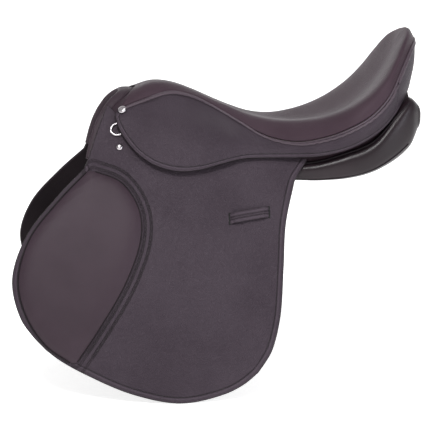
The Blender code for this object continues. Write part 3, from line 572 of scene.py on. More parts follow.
def leather(name, base, dark, grain, depth, rough, creases=(), shine=0.0, rows=(),
            gloss=0.25):
    """Tanned leather: pores, slow colour change, burnished edge, creased lines darkened with
    painted shade, a painted highlight on the bead beside them, and painted shade along the
    stitch rows.
    """
    # bead_highlight: lighter colour painted on the raised bead beside each crease, a painted
    # highlight
    bead_highlight = tuple(min(1.0, c * 1.9 + 0.01) for c in base[:3]) + (1.0,)
    m = Nodes(name)
    warp = m.add("VectorMath", operation="ADD")
    m.put(warp.inputs[0], m.coord)
    m.put(warp.inputs[1], m.add("VectorMath", {
        0: m.add("TexNoise", {"Vector": m.coord, "Scale": grain * 0.45}).outputs["Color"],
        1: (0.9 / grain,) * 3}, operation="MULTIPLY").outputs[0])
    cell = m.add("TexVoronoi", {"Vector": warp.outputs[0], "Scale": grain},
                 feature="DISTANCE_TO_EDGE").outputs["Distance"]
    pebble = m.ramp(cell, 0.0, 0.32)
    fine = m.noise(grain * 2.3, 2.0)
    height = m.math("ADD", pebble, m.math("MULTIPLY", fine, 0.35))
    slow = m.noise(9.0, 4.0, 0.6)
    colour = m.mix(m.ramp(slow, 0.35, 0.7), base, dark)
    colour = m.mix(m.ramp(pebble, 0.0, 0.6, 0.45, 0.0), colour, dark)
    rim = m.add("Attribute", attribute_name="rim").outputs["Fac"]
    colour = m.mix(m.ramp(rim, 0.2, 0.9), colour, rgb(22, 17, 19))
    normal = m.bump(height, depth)

    def scored(attribute, places, low, high):
        """Distance from an edge, and 1 on the lines at the given distances from it."""
        away = m.add("Attribute", attribute_name=attribute).outputs["Fac"]
        line = None
        for at in places:
            one = m.ramp(m.math("ABSOLUTE", m.math("SUBTRACT", away, at)), low, high, 1.0, 0.0)
            line = one if line is None else m.math("MAXIMUM", line, one)
        return away, line
    if creases:
        away, line = scored("edge", creases, 0.0, 1.0)
        bead = m.ramp(m.math("ABSOLUTE", m.math("SUBTRACT", away, creases[0] - 2.6)),
                      0.0, 2.4, 1.0, 0.0)
        # painted shade: the creased lines are darkened where the groove lies in shade
        colour = m.mix(m.math("MULTIPLY", line, 0.55), colour, rgb(22, 17, 19))
        # painted highlight: the bead just inside the crease is lightened
        colour = m.mix(m.math("MULTIPLY", bead, 0.3), colour, bead_highlight)
        height2 = m.math("SUBTRACT", m.math("MULTIPLY", bead, 0.8), line)
        normal = m.bump(height2, 0.0007, 1.0, normal)
    if rows:
        away, line = scored("pad", rows, 0.4, 1.3)
        line = m.math("MULTIPLY", line, m.ramp(away, 1.0, 2.0))
        # painted shade: the stitch rows are darkened along their grooves; on the skirt this
        # makes a painted shade line just below the piping
        colour = m.mix(m.math("MULTIPLY", line, 0.5), colour, rgb(24, 17, 20))
        normal = m.bump(m.math("MULTIPLY", line, -1.0), 0.0006, 1.0, normal)
    roughness = m.math("ADD", m.math("MULTIPLY", slow, 0.14), rough - 0.07)
    m.put(m.shader.inputs["Roughness"], roughness)
    return m.done(Base_Color=colour, Normal=normal, Coat_Weight=shine,
                  Coat_Roughness=0.3, Specular_IOR_Level=gloss, IOR=1.42)


def plain(name, colour, rough, metallic=0.0, scale=300.0, depth=0.00008, spread=0.12):
    """Finish with a fine uneven surface, for metal and thread."""
    m = Nodes(name)
    n = m.noise(scale, 3.0)
    m.put(m.shader.inputs["Roughness"], m.ramp(n, 0.3, 0.7, rough - spread / 2,
                                              rough + spread / 2))
    dull = tuple(c * 0.8 for c in colour[:3]) + (1.0,)
    return m.done(Base_Color=m.mix(m.ramp(m.noise(18.0), 0.35, 0.7), colour, dull),
                  Metallic=metallic, Normal=m.bump(n, depth))


def woven(name, colour, dark, pitch=1.4):
    """Twill webbing: two crossing sets of threads."""
    m = Nodes(name)
    k = 2 * math.pi / (pitch * MM)
    split = m.add("SeparateXYZ", {0: m.coord})
    x, z = split.outputs[0], split.outputs[2]
    a = m.math("SINE", m.math("MULTIPLY", m.math("ADD", x, z), k))
    b = m.math("SINE", m.math("MULTIPLY", m.math("SUBTRACT", x, z), k))
    height = m.math("ADD", m.math("MULTIPLY", a, b), m.noise(1500.0, 2.0))
    return m.done(Base_Color=m.mix(m.ramp(height, -0.4, 1.2), dark, colour), Roughness=0.92,
                  Normal=m.bump(height, 0.0004))


def timber(name, light, dark):
    """Laminated beech, grain along the saddle."""
    m = Nodes(name)
    stretch = m.add("Mapping", {"Vector": m.coord, "Scale": (6.0, 90.0, 160.0)}).outputs[0]
    rings = m.add("TexWave", {"Vector": stretch, "Scale": 1.0, "Distortion": 4.0,
                              "Detail": 3.0}, bands_direction="Z").outputs["Fac"]
    return m.done(Base_Color=m.mix(rings, light, dark), Roughness=0.55,
                  Normal=m.bump(rings, 0.0002))


def fleece(name, colour, dark):
    m = Nodes(name)
    n = m.noise(420.0, 5.0, 0.7)
    return m.done(Base_Color=m.mix(n, dark, colour), Roughness=0.95,
                  Normal=m.bump(n, 0.0012))


def finishes():
    f = {}
    f["grained"] = leather("grained_hide", rgb(62, 53, 61), rgb(53, 44, 52), 620.0, 0.0004,
                           0.54, (CREASE,), 0.0, PAD_ROWS)
    f["smooth"] = leather("seat_hide", rgb(67, 55, 62), rgb(59, 47, 54), 900.0, 0.00008,
                          0.38, (), 0.0, (), 0.04)
    f["pad"] = leather("pad_hide", rgb(56, 44, 52), rgb(49, 38, 45), 1000.0, 0.00007, 0.5)
    f["panel"] = leather("panel_hide", rgb(36, 26, 31), rgb(29, 21, 25), 850.0, 0.00005,
                         0.30, (), 0.16)
    f["strap"] = leather("strap_hide", rgb(52, 41, 44), rgb(40, 31, 33), 700.0, 0.00018,
                         0.46, (3.2,))
    f["strap_edge"] = leather("sweat_hide", rgb(52, 42, 46), rgb(41, 32, 35), 650.0, 0.00022,
                              0.50, (SWEAT_SEAM,))
    # flesh: flesh side of the leather, darkened to a painted shade for undersides that sit in
    # shadow
    f["flesh"] = leather("inner_hide_painted_shade", rgb(30, 24, 27), rgb(22, 17, 20), 900.0, 0.0003,
                         0.75, (), 0.0, (), 0.1)
    f["piping"] = leather("piping_hide", rgb(80, 69, 77), rgb(70, 60, 67), 800.0, 0.00004,
                          0.40)
    f["dark"] = leather("edge_hide", rgb(30, 23, 27), rgb(23, 17, 21), 800.0, 0.00006, 0.5)
    f["slit"] = plain("slit_shadow", rgb(10, 8, 9), 0.9)
    f["thread"] = plain("waxed_thread", rgb(24, 19, 22), 0.6, scale=2500.0, depth=0.0001)
    f["linen"] = woven("linen_weave", rgb(176, 160, 124), rgb(112, 98, 70))
    f["foam"] = fleece("foam_rubber", rgb(176, 170, 156), rgb(140, 134, 120))
    f["wood"] = timber("beech_laminate", rgb(176, 134, 88), rgb(142, 100, 60))
    f["steel"] = plain("forged_finish", rgb(150, 150, 152), 0.36, 1.0, 260.0, 0.0001)
    f["nickel"] = plain("nickel_finish", rgb(196, 190, 194), 0.24, 1.0, 120.0, 0.00001, 0.05)
    return f


# ---- shapes shared with the leather lines ---------------------------------
def out_at(z):
    """Outward direction of the hanging layers at a height."""
    fall = -0.5 if z > 0 else -0.5 - 0.0011 * z
    return Vector((0, -1, -fall)).normalized()


def on_flap(x, z, lift=0.0):
    return hung(x, z) + out_at(z) * (FLAP_T / 2 + lift)


def joined(*lists):
    out = []
    for part in lists:
        out += [p for p in part if not out or (Vector(p) - Vector(out[-1])).length > 0.01]
    return out


def line2(points, count=160):
    return [(p.x, p.y) for p in sample([Vector((*p, 0)) for p in points], count)]


def inset(points, distance, count=160):
    """Line moved sideways; a positive distance goes to the right of its direction."""
    fine = line2(points, count)
    out = []
    for i, (x, z) in enumerate(fine):
        a, b = fine[max(i - 2, 0)], fine[min(i + 2, count)]
        dx, dz = b[0] - a[0], b[1] - a[1]
        size = math.hypot(dx, dz) or 1.0
        out.append((x + distance * dz / size, z - distance * dx / size))
    return out


def nearest(points, line):
    """Shortest distance from each 2-D point to a polyline, in millimetres."""
    out = []
    for x, z in points:
        best = 1e9
        for (ax, az), (bx, bz) in zip(line, line[1:]):
            dx, dz = bx - ax, bz - az
            t = ((x - ax) * dx + (z - az) * dz) / max(dx * dx + dz * dz, 1e-9)
            t = min(max(t, 0), 1)
            best = min(best, (x - ax - dx * t) ** 2 + (z - az - dz * t) ** 2)
        out.append(math.sqrt(best))
    return out


def wander(p, scale, seed=0.0):
    """Slow smooth noise, -1..1."""
    return noise.noise(Vector((p.x * scale + seed, p.y * scale - seed, p.z * scale)))


# ---- flap, pad and keeper -------------------------------------------------
def flap_bend():
    """Points above and below the flap's bend, square to its axis."""
    a, b = hung(*HINGE_FRONT), hung(*HINGE_REAR)
    axis = (b - a).normalized()
    down = Vector((0, -0.447, -0.894))
    down = (down - axis * down.dot(axis)).normalized()
    mid = (a + b) / 2 + out_at(1.0) * (FLAP_T / 2 + 0.4)
    return mid - down * 7.0, mid + down * 7.0


def make_flap(f):
    across, upper, lower = 84, 22, 72
    top = patch(FLAP_TOP, [HINGE_FRONT, HINGE_REAR], FLAP_FRONT[:4],
                [FLAP_REAR[0], FLAP_REAR[1], FLAP_REAR[2]], across, upper)
    low = patch([HINGE_FRONT, HINGE_REAR], FLAP_BOTTOM, FLAP_FRONT[3:], FLAP_REAR[2:],
                across, lower)
    flat = top[:-1] + low
    rows = [[hung(*p) for p in row] for row in flat]
    nx = across + 1
    edge = joined(line2(FLAP_FRONT[3:], 60), line2(FLAP_BOTTOM, 90),
                  list(reversed(line2(FLAP_REAR, 60))))
    far = nearest([p for row in flat for p in row], edge)

    behind = nearest([p for row in flat for p in row], line2(KNEE_REAR, 70))
    pad = [d if z < 40 - 0.1 * x else 99.0
           for d, (x, z) in zip(behind, [p for row in flat for p in row])]

    def ripple(j, i):
        p = rows[j][i]
        return 0.35 * wander(p, 0.012, 3.0)
    obj = slab("flap", rows, FLAP_T / 2, -FLAP_T / 2, f["grained"], lift=ripple,
               back=f["flesh"],
               values={"edge": lambda j, i: min(far[j * nx + i], 60.0),
                       "pad": lambda j, i: min(pad[j * nx + i], 60.0)})
    both(obj, "flap_leather", "flap", "flap", "flap_top", bend=flap_bend(),
         slot="grained_leather")
    line = [(on_flap(x, z, 0.05), out_at(z)) for x, z in
            inset(list(reversed(FLAP_REAR[2:])), -FLAP_SEAM)[8:]]
    base = [(on_flap(x, z, 0.05), out_at(z)) for x, z in
            inset(FLAP_BOTTOM, -FLAP_SEAM, 220)[44:-4]]
    row = stitches("flap_stitch", [list(reversed(line)), base], f["thread"])
    both(row, "flap_stitching", "flap")


def make_knee(f):
    nu, nv = 40, 64
    flat = patch([KNEE_FRONT[0], KNEE_REAR[0]], [KNEE_FRONT[-1], KNEE_REAR[-1]],
                 KNEE_FRONT, KNEE_REAR, nu, nv)
    rows = [[hung(*p) for p in row] for row in flat]
    outline = joined(line2(KNEE_FRONT, 70), list(reversed(line2(KNEE_REAR, 70))),
                     [KNEE_FRONT[0]])
    far = nearest([p for row in flat for p in row], outline)
    nx = nu + 1

    def puff(j, i):
        d = far[j * nx + i]
        p = rows[j][i]
        rise = 1.0 - math.exp(-d / 8.5)
        pucker = 0.45 * math.exp(-d / 9.0) * min(d / 3.0, 1.0) * math.sin(
            0.55 * (p.x * 0.5 - p.z))
        return 7.6 * rise + pucker + 0.35 * rise * wander(p, 0.022, 7.0)
    obj = slab("knee", rows, FLAP_T / 2 + GAP + 0.9, FLAP_T / 2 + GAP, f["pad"], lift=puff)
    both(obj, "knee_pad_cover", "flap", "knee_pad", padded=0.8, slot="smooth_leather")
    seam = [on_flap(x, z, GAP + 0.55) for x, z in inset(KNEE_REAR, -1.2, 120)[1:-1]]
    both(tube("knee_welt", seam, 0.95, f["dark"], 8), "knee_pad_welt", "flap")
    seam = [on_flap(x, z, GAP + 0.5) for x, z in inset(KNEE_FRONT, 1.6, 120)[1:-1]]
    both(tube("knee_fold", seam, 1.2, f["dark"], 8), "knee_pad_fold", "flap")
    lines = []
    for away in PAD_ROWS:
        lines.append([(on_flap(x, z, 0.05), out_at(z)) for x, z in
                      inset(KNEE_REAR, -away, 160)[4:-10]])
    both(stitches("knee_rows", lines, f["thread"], 3.1, 0.5), "knee_pad_stitching", "flap")


def make_keeper(f):
    rows = []
    n = 48
    for i in range(n + 1):
        u = i / n
        x, z = -62 + 55 * u, -50 + 8.0 * u
        rows.append([hung(x, z + 13.0 * j / 8) for j in range(9)])

    def arch(j, i):
        u = j / n
        return -2.4 + 4.6 * min(1.0, math.sin(math.pi * u) * 2.4) ** 0.8
    obj = slab("keeper", rows, FLAP_T / 2 + GAP + 2.0, FLAP_T / 2 + GAP, f["grained"],
               values={"edge": lambda j, i: 1.6 + 1.6 * min(i, 8 - i),
                       "pad": lambda j, i: 60.0})
    for v in obj.data.vertices:
        p = v.co / MM
        u = min(max((p.x + 62) / 55, 0), 1)
        v.co += out_at(p.z) * (arch(u * n, 0) * MM)
    both(obj, "keeper_strip", "flap", "keeper", slot="grained_leather")
    for label, x in (("front", -62.3), ("rear", -6.7)):
        z = -50 + 8.0 * (x + 62) / 55
        slit = slab("slit", [[hung(x + 2.4 * (k - 0.5), z - 1.2 + 15.4 * j / 8)
                              for k in (0, 0.5, 1)] for j in range(9)],
                    FLAP_T / 2 + 0.45, FLAP_T / 2 - 0.8, f["slit"], rim=0.3)
        both(slit, "keeper_slit_" + label, "flap")


# ---- skirt and cantle -----------------------------------------------------
def skirt_point(s, t):
    return spline([spline(column(SKIRT, part), s) for part in range(3)], t)


def skirt_start(s, line, clear):
    for i in range(1, 200):
        p = skirt_point(s, i / 200)
        if min((p - q).length for q in line) > clear:
            return i / 200
    return 0.2


def skirt_bend():
    a = Vector((SKIRT_HINGE_FRONT[0], -81.0, SKIRT_HINGE_FRONT[1]))
    b = Vector((SKIRT_HINGE_REAR[0], -105.0, SKIRT_HINGE_REAR[1]))
    axis = (b - a).normalized()
    down = Vector((0, -0.447, -0.894))
    down = (down - axis * down.dot(axis)).normalized()
    mid = (a + b) / 2
    return mid - down * 5.0, mid + down * 5.0


def length_of(row):
    return sum((b - a).length for a, b in zip(row, row[1:]))


def make_skirt(f):
    welt = [spline(column(SEAT, 2), i / 120) for i in range(121)]
    last, count, across = SKIRT_END, 150, 22
    rows, sizes = [], []
    for i in range(count + 1):
        s = last * i / count
        first = skirt_start(s, welt, WELT_CLEAR)
        if s < 0.03:
            first = min(first, 0.5)
        row = [skirt_point(s, first + (1 - first) * j / across) for j in range(across + 1)]
        rows.append(row)
        sizes.append(length_of(row))
    nx = across + 1

    def edge(j, i):
        low = sizes[j] * (1 - i / across)
        front = (rows[j][i] - rows[0][min(i, across)]).length if j < 25 else 99.0
        return min(low, front)
    # the "pad" distances here put a painted shade line along the skirt just below the piping
    obj = slab("skirt", rows, SKIRT_T / 2, -SKIRT_T / 2, f["grained"],
               values={"edge": edge, "pad": lambda j, i: min(sizes[j] * i / across + 0.8, 5.8)},
               back=f["flesh"])
    both(obj, "skirt_leather", "skirt", "skirt", "skirt_top", bend=skirt_bend(),
         slot="grained_leather")

    nrm = normals_of(rows)
    line = []
    for j in range(3, count + 1):
        k = across * (1 - SKIRT_SEAM / sizes[j]) if sizes[j] > 20 else across * 0.6
        a = int(min(max(k, 0), across - 1))
        p = rows[j][a].lerp(rows[j][a + 1], k - a)
        line.append((p + nrm[j][a] * (SKIRT_T / 2 + 0.05), nrm[j][a]))
    both(stitches("skirt_rows", [line], f["thread"]), "skirt_stitching", "skirt",
         bend=skirt_bend())
    second = []
    for j in range(2, count + 1):
        p, n = rows[j][1], nrm[j][1]
        along = (rows[j][2] - rows[j][0]).normalized()
        second.append(rows[j][0] + along * 1.6 + n * (SKIRT_T / 2 - 0.4))
    both(tube("piping", second, PIPING_R, f["piping"]), "skirt_piping", "saddle")

    # cantle back, both halves in one piece
    half = []
    for i in range(37):
        s = last + 0.004 + (1 - last - 0.004) * i / 36
        first = skirt_start(s, welt, WELT_CLEAR)
        half.append([skirt_point(s, first + (1 - first) * j / across)
                     for j in range(across + 1)])
    whole = half + [[flip(p) for p in row] for row in reversed(half[:-1])]
    back = slab("cantle_leather", whole, SKIRT_T / 2, -SKIRT_T / 2, f["grained"],
                toward=(1, 0, 0),
                values={"edge": lambda j, i: length_of(whole[j]) * (1 - i / across),
                        "pad": lambda j, i: 60.0}, back=f["flesh"])
    single(back, "cantle_back")
    nrm = normals_of(whole, (1, 0, 0))
    path = [whole[j][0] + (whole[j][2] - whole[j][0]).normalized() * 1.6
            + nrm[j][0] * (SKIRT_T / 2 - 0.4) for j in range(len(whole))]
    single(tube("cantle_piping", path, PIPING_R, f["piping"]))


# ---- seat -----------------------------------------------------------------
def seat_rows(across, along, stop=1.0):
    rows = []
    for i in range(along + 1):
        s = i / along
        c = spline([(x, 0, z) for (x, z), _, _ in SEAT], s)
        r, w = spline(column(SEAT, 1), s), spline(column(SEAT, 2), s)
        span = math.sqrt((r - c).length)
        flat = Vector((0, r.y - c.y, 0)) / span
        fall = (w - r) / math.sqrt((w - r).length)
        fall = Vector((fall.x, fall.y * 0.35, fall.z * 1.25))
        rows.append([spline([c, r, w], stop * j / across, flat, fall)
                     for j in range(across + 1)])
    return rows


def whole_seat(across, along, stop=1.0):
    near = seat_rows(across, along, stop)
    rows = [[flip(p) for p in reversed(row)] + row[1:] for row in near]
    n = len(rows[0])
    verts = [p for row in rows for p in row]
    faces = [(j * n + i, j * n + i + 1, (j + 1) * n + i + 1, (j + 1) * n + i)
             for j in range(len(rows) - 1) for i in range(n - 1)]
    base = (len(rows) - 1) * n
    for j in range(across):
        a, b = base + across + j, base + across + j + 1
        c, d = base + across - j - 1, base + across - j
        faces.append((a, b, c) if j == 0 else (a, b, c, d))
    return verts, faces, n


def foam_depth(x, across):
    middle = spline([(-190, 6, 0), (-150, 12, 0), (-100, 14, 0), (-50, 17, 0), (0, 22, 0),
                     (50, 21, 0), (100, 16, 0), (140, 9, 0), (170, 4, 0), (200, 2.2, 0)],
                    min(max((x + 190) / 390, 0), 1)).y
    edge = 3.0 if x < 120 else 1.4
    return middle + (edge - middle) * min(1.0, across)


def shell(name, verts, faces, outer, inner, mat):
    """Closed piece between two offsets of a free surface."""
    total = [Vector((0, 0, 0)) for _ in verts]
    for f in faces:
        for a in range(len(f)):
            p, q, r = verts[f[a - 1]], verts[f[a]], verts[f[(a + 1) % len(f)]]
            total[f[a]] += (q - p).cross(r - q).normalized()
    nrm = [n.normalized() if n.length > 1e-9 else Vector((0, 0, 1)) for n in total]
    if sum(n.z for n in nrm) < 0:
        nrm = [-n for n in nrm]
    n = len(verts)
    pts = [v + nrm[i] * outer(i) for i, v in enumerate(verts)]
    pts += [v + nrm[i] * inner(i) for i, v in enumerate(verts)]
    solid = [tuple(f) for f in faces] + [tuple(n + i for i in reversed(f)) for f in faces]
    count = {}
    for f in faces:
        for a in range(len(f)):
            e = tuple(sorted((f[a], f[(a + 1) % len(f)])))
            count[e] = count.get(e, 0) + 1
    for f in faces:
        for a in range(len(f)):
            i, j = f[a], f[(a + 1) % len(f)]
            if count[tuple(sorted((i, j)))] == 1:
                solid.append((j, i, n + i, n + j))
    return link(name, pts, solid, mat)


def make_seat(f):
    across, along = 44, 130
    verts, faces, n = whole_seat(across, along, SEAT_END)

    def skin(i):
        t = abs((i % n) - across) / across
        p = verts[i]
        return 0.35 * wander(p, 0.018, 11.0) * (1 - t) + 0.12 * wander(p, 0.06, 2.0) * (1 - t)
    seat = shell("seat_leather", verts, faces, skin, lambda i: -SEAT_T, f["smooth"])
    single(seat, "seat_cover")

    verts, faces, n = whole_seat(10, 34, SEAT_END)

    def depth(i):
        return -(SEAT_T + GAP + foam_depth(verts[i].x, abs((i % n) - 10) / 10))
    foam = shell("seat_padding", verts, faces, lambda i: -SEAT_T - GAP, depth, f["foam"])
    single(foam, "seat_foam")

    half = []
    for row in seat_rows(6, 120, SEAT_END):
        half.append(row[-1] + (row[-1] - row[-2]).normalized() * 2.7)
    half[-1].y = 0.0
    path = half + [flip(p) for p in reversed(half[:-1])]
    single(tube("seat_piping", path, WELT_R, f["piping"]), "seat_welt")


# ---- under the flap -------------------------------------------------------
def make_sweat(f):
    top = [(-232, -40), (-130, -30), (-60, -12), (10, -4)]
    bottom = [(-300, -196), (-215, -236), (-120, -250), (-38, -222)]
    front = [(-232, -40), (-300, -70), (-336, -120), (-300, -196)]
    rear = [(10, -4), (0, -60), (-8, -150), (-38, -222)]
    flat = patch(top, bottom, front, rear, 66, 54)
    rows = [[hung(*p, inward=SWEAT_IN) for p in row] for row in flat]
    edge = joined(line2(front, 50), line2(bottom, 60), list(reversed(line2(rear, 50))))
    far = nearest([p for row in flat for p in row], edge)
    obj = slab("sweat", rows, SWEAT_T / 2, -SWEAT_T / 2, f["strap_edge"],
               values={"edge": lambda j, i: min(far[j * 67 + i], 60.0)},
               lift=lambda j, i: 0.3 * wander(rows[j][i], 0.014, 5.0))
    both(obj, "sweat_flap_leather", "saddle", "sweat_flap", slot="strap_leather")
    for name, sign in (("outer", 1), ("inner", -1)):
        lines = []
        for pts, turn in ((front, -1), (bottom, -1), (rear, 1)):
            lines.append([(hung(x, z, inward=SWEAT_IN) + out_at(z) * sign * 1.3,
                           out_at(z) * sign) for x, z in inset(pts, turn * SWEAT_SEAM)[6:-6]])
        both(stitches("sweat_rows", lines, f["thread"]), "sweat_stitching_" + name, "saddle")

    flat = patch([(-262, -52), (-240, -52)], [(-276, -178), (-250, -184)],
                 [(-262, -52), (-300, -90), (-300, -140), (-276, -178)],
                 [(-240, -52), (-250, -90), (-256, -140), (-250, -184)], 26, 56)
    rows = [[hung(*p, inward=SWEAT_IN) for p in row] for row in flat]
    ring = joined([p for p in flat[0]], [row[-1] for row in flat], list(reversed(flat[-1])),
                  [row[0] for row in reversed(flat)])
    far = nearest([p for row in flat for p in row], ring)

    def puff(j, i):
        d = far[j * 27 + i]
        p = rows[j][i]
        wave = 0.4 * math.exp(-d / 7.0) * min(d / 3.0, 1.0) * math.sin(0.6 * p.z)
        return 8.2 * (1 - math.exp(-d / 7.5)) + wave
    obj = slab("block", rows, SWEAT_T / 2 + GAP + 0.9, SWEAT_T / 2 + GAP, f["panel"],
               lift=puff)
    both(obj, "knee_block_cover", "saddle", "knee_block", padded=0.85, slot="panel_leather")


def punch(obj, places):
    """Round holes right through a strap."""
    tools = []
    for p, axis in places:
        tool = turned("punch", p - axis * 6, axis, ((0, HOLE_R), (12, HOLE_R)),
                      obj.data.materials[0], 20)
        tools.append(tool)
    bm = bmesh.new()
    for tool in tools:
        bm.from_mesh(tool.data)
        bpy.data.objects.remove(tool)
    mesh = bpy.data.meshes.new("punches")
    bm.to_mesh(mesh)
    bm.free()
    cutter = placed("punches", mesh)
    mod = obj.modifiers.new("holes", "BOOLEAN")
    mod.operation, mod.solver, mod.object = "DIFFERENCE", "EXACT", cutter
    bpy.context.view_layer.update()
    dg = bpy.context.evaluated_depsgraph_get()
    done = bpy.data.meshes.new_from_object(obj.evaluated_get(dg))
    obj.modifiers.clear()
    obj.data = done
    bpy.data.objects.remove(cutter)


def make_straps(f):
    for k, part in enumerate(("front", "middle", "rear")):
        x = STRAP_X[k]
        end = STRAP_END + (6 if k != 1 else 0)
        n = 70
        rows = []
        for j in range(n + 1):
            z = STRAP_TOP + (end - 9 - STRAP_TOP) * j / n
            t = max(0.0, (end + 3 - z) / 12.0)
            half = STRAP_W / 2 * (1.0 - 0.62 * min(t, 1.0) ** 2.2)
            rows.append([hung(x + half * (i / 5 - 1), z, inward=STRAP_IN)
                         for i in range(11)])
        obj = slab("strap", rows, STRAP_T / 2, -STRAP_T / 2, f["strap"],
                   values={"edge": lambda j, i: STRAP_W / 10 * min(i, 10 - i)})
        places, lines = [], []
        for h in range(HOLE_COUNT):
            z = end + 16 + HOLE_PITCH * h
            places.append((hung(x, z, inward=STRAP_IN), out_at(z)))
        punch(obj, places)
        both(obj, "girth_strap_%s_leather" % part, "strap_" + part, "girth_strap_" + part,
             slot="strap_leather")
        for u in (-1, 1):
            line = []
            for j in range(101):
                z = STRAP_TOP - 4 + (end + 6 - STRAP_TOP) * j / 100
                line.append((hung(x + u * 8.9, z, inward=STRAP_IN)
                             + out_at(z) * (STRAP_T / 2 + 0.05), out_at(z)))
            lines.append(line)
        both(stitches("strap_rows", lines, f["thread"], 2.6, 0.4, 3.6),
             "girth_strap_%s_stitching" % part, "strap_" + part)
    for k, part in enumerate(("front", "rear")):
        low_x, top_x = (((-170, -96), (-150, -116)), ((-72, -44), (-72, -46)))[k]
        high, y_in = ((58.0, 66.5), (47.0, 76.5))[k]
        low = STRAP_TOP + 1.2
        rows = []
        for j in range(25):
            v = j / 24
            z = high + (low - high) * v
            y = y_in + (drape(0, low) - STRAP_IN - y_in) * v
            a, b = [top_x[q] + (low_x[q] - top_x[q]) * v for q in (0, 1)]
            rows.append([Vector((a + (b - a) * i / 16, -y, z)) for i in range(17)])
        web = slab("web", rows, 0.8, -0.8, f["linen"])
        both(web, "girth_web_%s_weave" % part, "saddle", "girth_web_" + part,
             slot="linen_web")

    flat = patch([(-172, -28), (-44, -28)], [(-174, -92), (-42, -92)],
                 [(-172, -28), (-174, -60), (-174, -92)],
                 [(-44, -28), (-42, -60), (-42, -92)], 44, 22)
    rows = [[hung(*p, inward=STRAP_IN - 3.6) for p in row] for row in flat]
    guard = slab("guard", rows, 0.9, -0.9, f["strap_edge"],
                 values={"edge": lambda j, i: 2.9 * min(i, 44 - i, j, 22 - j)})
    both(guard, "buckle_guard_leather", "saddle", "buckle_guard", slot="strap_leather")


# ---- panels ---------------------------------------------------------------
def panel_point(s, ang):
    flat = [(x, i[0], i[1], o[0], o[1], d, e) for x, i, o, d, e in PANEL]
    p = spline([(v[0], v[1], v[2]) for v in flat], s)
    q = spline([(v[0], v[3], v[4]) for v in flat], s)
    r = spline([(v[0], v[5], v[6]) for v in flat], s)
    a, b = Vector((0, -p.y, p.z)), Vector((0, -q.y, q.z))
    chord = (b - a).normalized()
    up = Vector((0, chord.z, -chord.y))
    if up.z < 0:
        up = -up
    c, d = math.cos(ang), math.sin(ang)
    u = math.copysign(abs(c) ** 0.62, c) * 0.5 + 0.5
    v = math.copysign(abs(d) ** 0.62, d) * 0.5 + 0.5
    point = a + (b - a) * u + up * (r.y + (r.z - r.y) * u) * v
    return Vector((p.x, point.y, point.z))


def make_panels(f):
    count, sides = 110, 56
    rings = [[panel_point(k / count, 2 * math.pi * i / sides) for i in range(sides)]
             for k in range(count + 1)]
    for k, ring in enumerate(rings):
        deep = max(0.0, (ring[0].x - 200.0) / 17.0, (-ring[0].x - 221.0) / 12.0)
        keep = math.sqrt(max(0.0, 1.0 - 0.8 * deep * deep))
        mid = sum(ring, Vector()) / sides
        rings[k] = [mid + (p - mid) * keep for p in ring]
    for end, step in ((0, -1), (-1, 1)):
        ring = rings[end]
        mid = sum(ring, Vector()) / sides
        for push, keep in ((1.7, 0.88), (3.2, 0.70), (4.3, 0.46), (4.9, 0.2)):
            extra = [mid + (p - mid) * keep + Vector((step * push, 0, 0)) for p in ring]
            rings = [extra] + rings if end == 0 else rings + [extra]
    verts = []
    for ring in rings:
        mid = sum(ring, Vector()) / sides
        for p in ring:
            out = p - mid
            out.x = 0
            out = out.normalized() if out.length > 1 else Vector((0, 0, 1))
            swell = 0.7 * wander(p, 0.020, 13.0) + 0.25 * wander(p, 0.055, 4.0) - 0.35
            verts.append(p + out * swell)
    obj = link("panel", verts, ring_faces(len(rings), sides), f["panel"])
    both(obj, "panel_leather", "saddle", "panel_cover", "panel_flock", padded=0.85,
         slot="panel_leather")
    for label, turn, start, radius in (("panel_welt_upper", 50, 0.5, 1.3),
                                       ("panel_seam_outer", -34, 0.03, 0.7),
                                       ("panel_seam_inner", 214, 0.03, 0.7)):
        ang, path = math.radians(turn), []
        for i in range(91):
            at = start + (PANEL_SEAM_END - start) * i / 90
            p = panel_point(at, ang)
            path.append(p + (p - panel_point(at, ang + math.pi)).normalized() * 0.25)
        both(tube("seam", path, radius, f["dark"], 8), label, "saddle")


def make_gusset(f):
    """Dark leather wall that closes the space between each panel and the skirt."""
    rows = []
    for k in range(61):
        v = k / 60
        s = 0.50 + 0.43 * v
        low = panel_point(s, math.radians(62))
        best = min((skirt_point(0.50 + 0.46 * i / 120, 0.93) for i in range(121)),
                   key=lambda p: abs(p.x - low.x))
        high = Vector((low.x, best.y + 5.5, best.z))
        low = low + Vector((0, 2.0, -5.0))
        rows.append([high.lerp(low, i / 8) + Vector((0, 1.6 * math.sin(math.pi * i / 8), 0))
                     for i in range(9)])
    both(slab("gusset", rows, 0.8, -0.8, f["panel"]), "panel_gusset", "saddle")


# ---- pommel ---------------------------------------------------------------
def make_facing(f):
    half = sample([(x, -y, z) for x, y, z in FACING], 60)
    path = list(reversed(half)) + [flip(p) for p in half[1:]]
    frames = []
    for i, p in enumerate(path):
        along = (path[min(i + 1, len(path) - 1)] - path[max(i - 1, 0)]).normalized()
        ahead = Vector((-1, 0, 0))
        across = (ahead - along * ahead.dot(along)).normalized()
        frames.append((p, across, along.cross(across).normalized()))

    def section(t):
        i = int(round(t * (len(path) - 1)))
        wide = 13 + 8 * max(0.0, 1 - abs(path[i].y) / 45)
        out = []
        for k in range(26):
            ang = 2 * math.pi * k / 26
            c, s = math.cos(ang), math.sin(ang)
            fold = 0.22 * math.sin(ang * 3 + 5 * t) + 0.15 * math.sin(t * 90 + ang * 2)
            out.append((math.copysign(abs(c) ** 0.8, c) * (wide / 2 + fold * 0.3),
                        math.copysign(abs(s) ** 0.8, s) * (3.5 + fold * 0.5)))
        return out
    single(band("facing_roll", frames, section, f["pad"]), "pommel_facing")


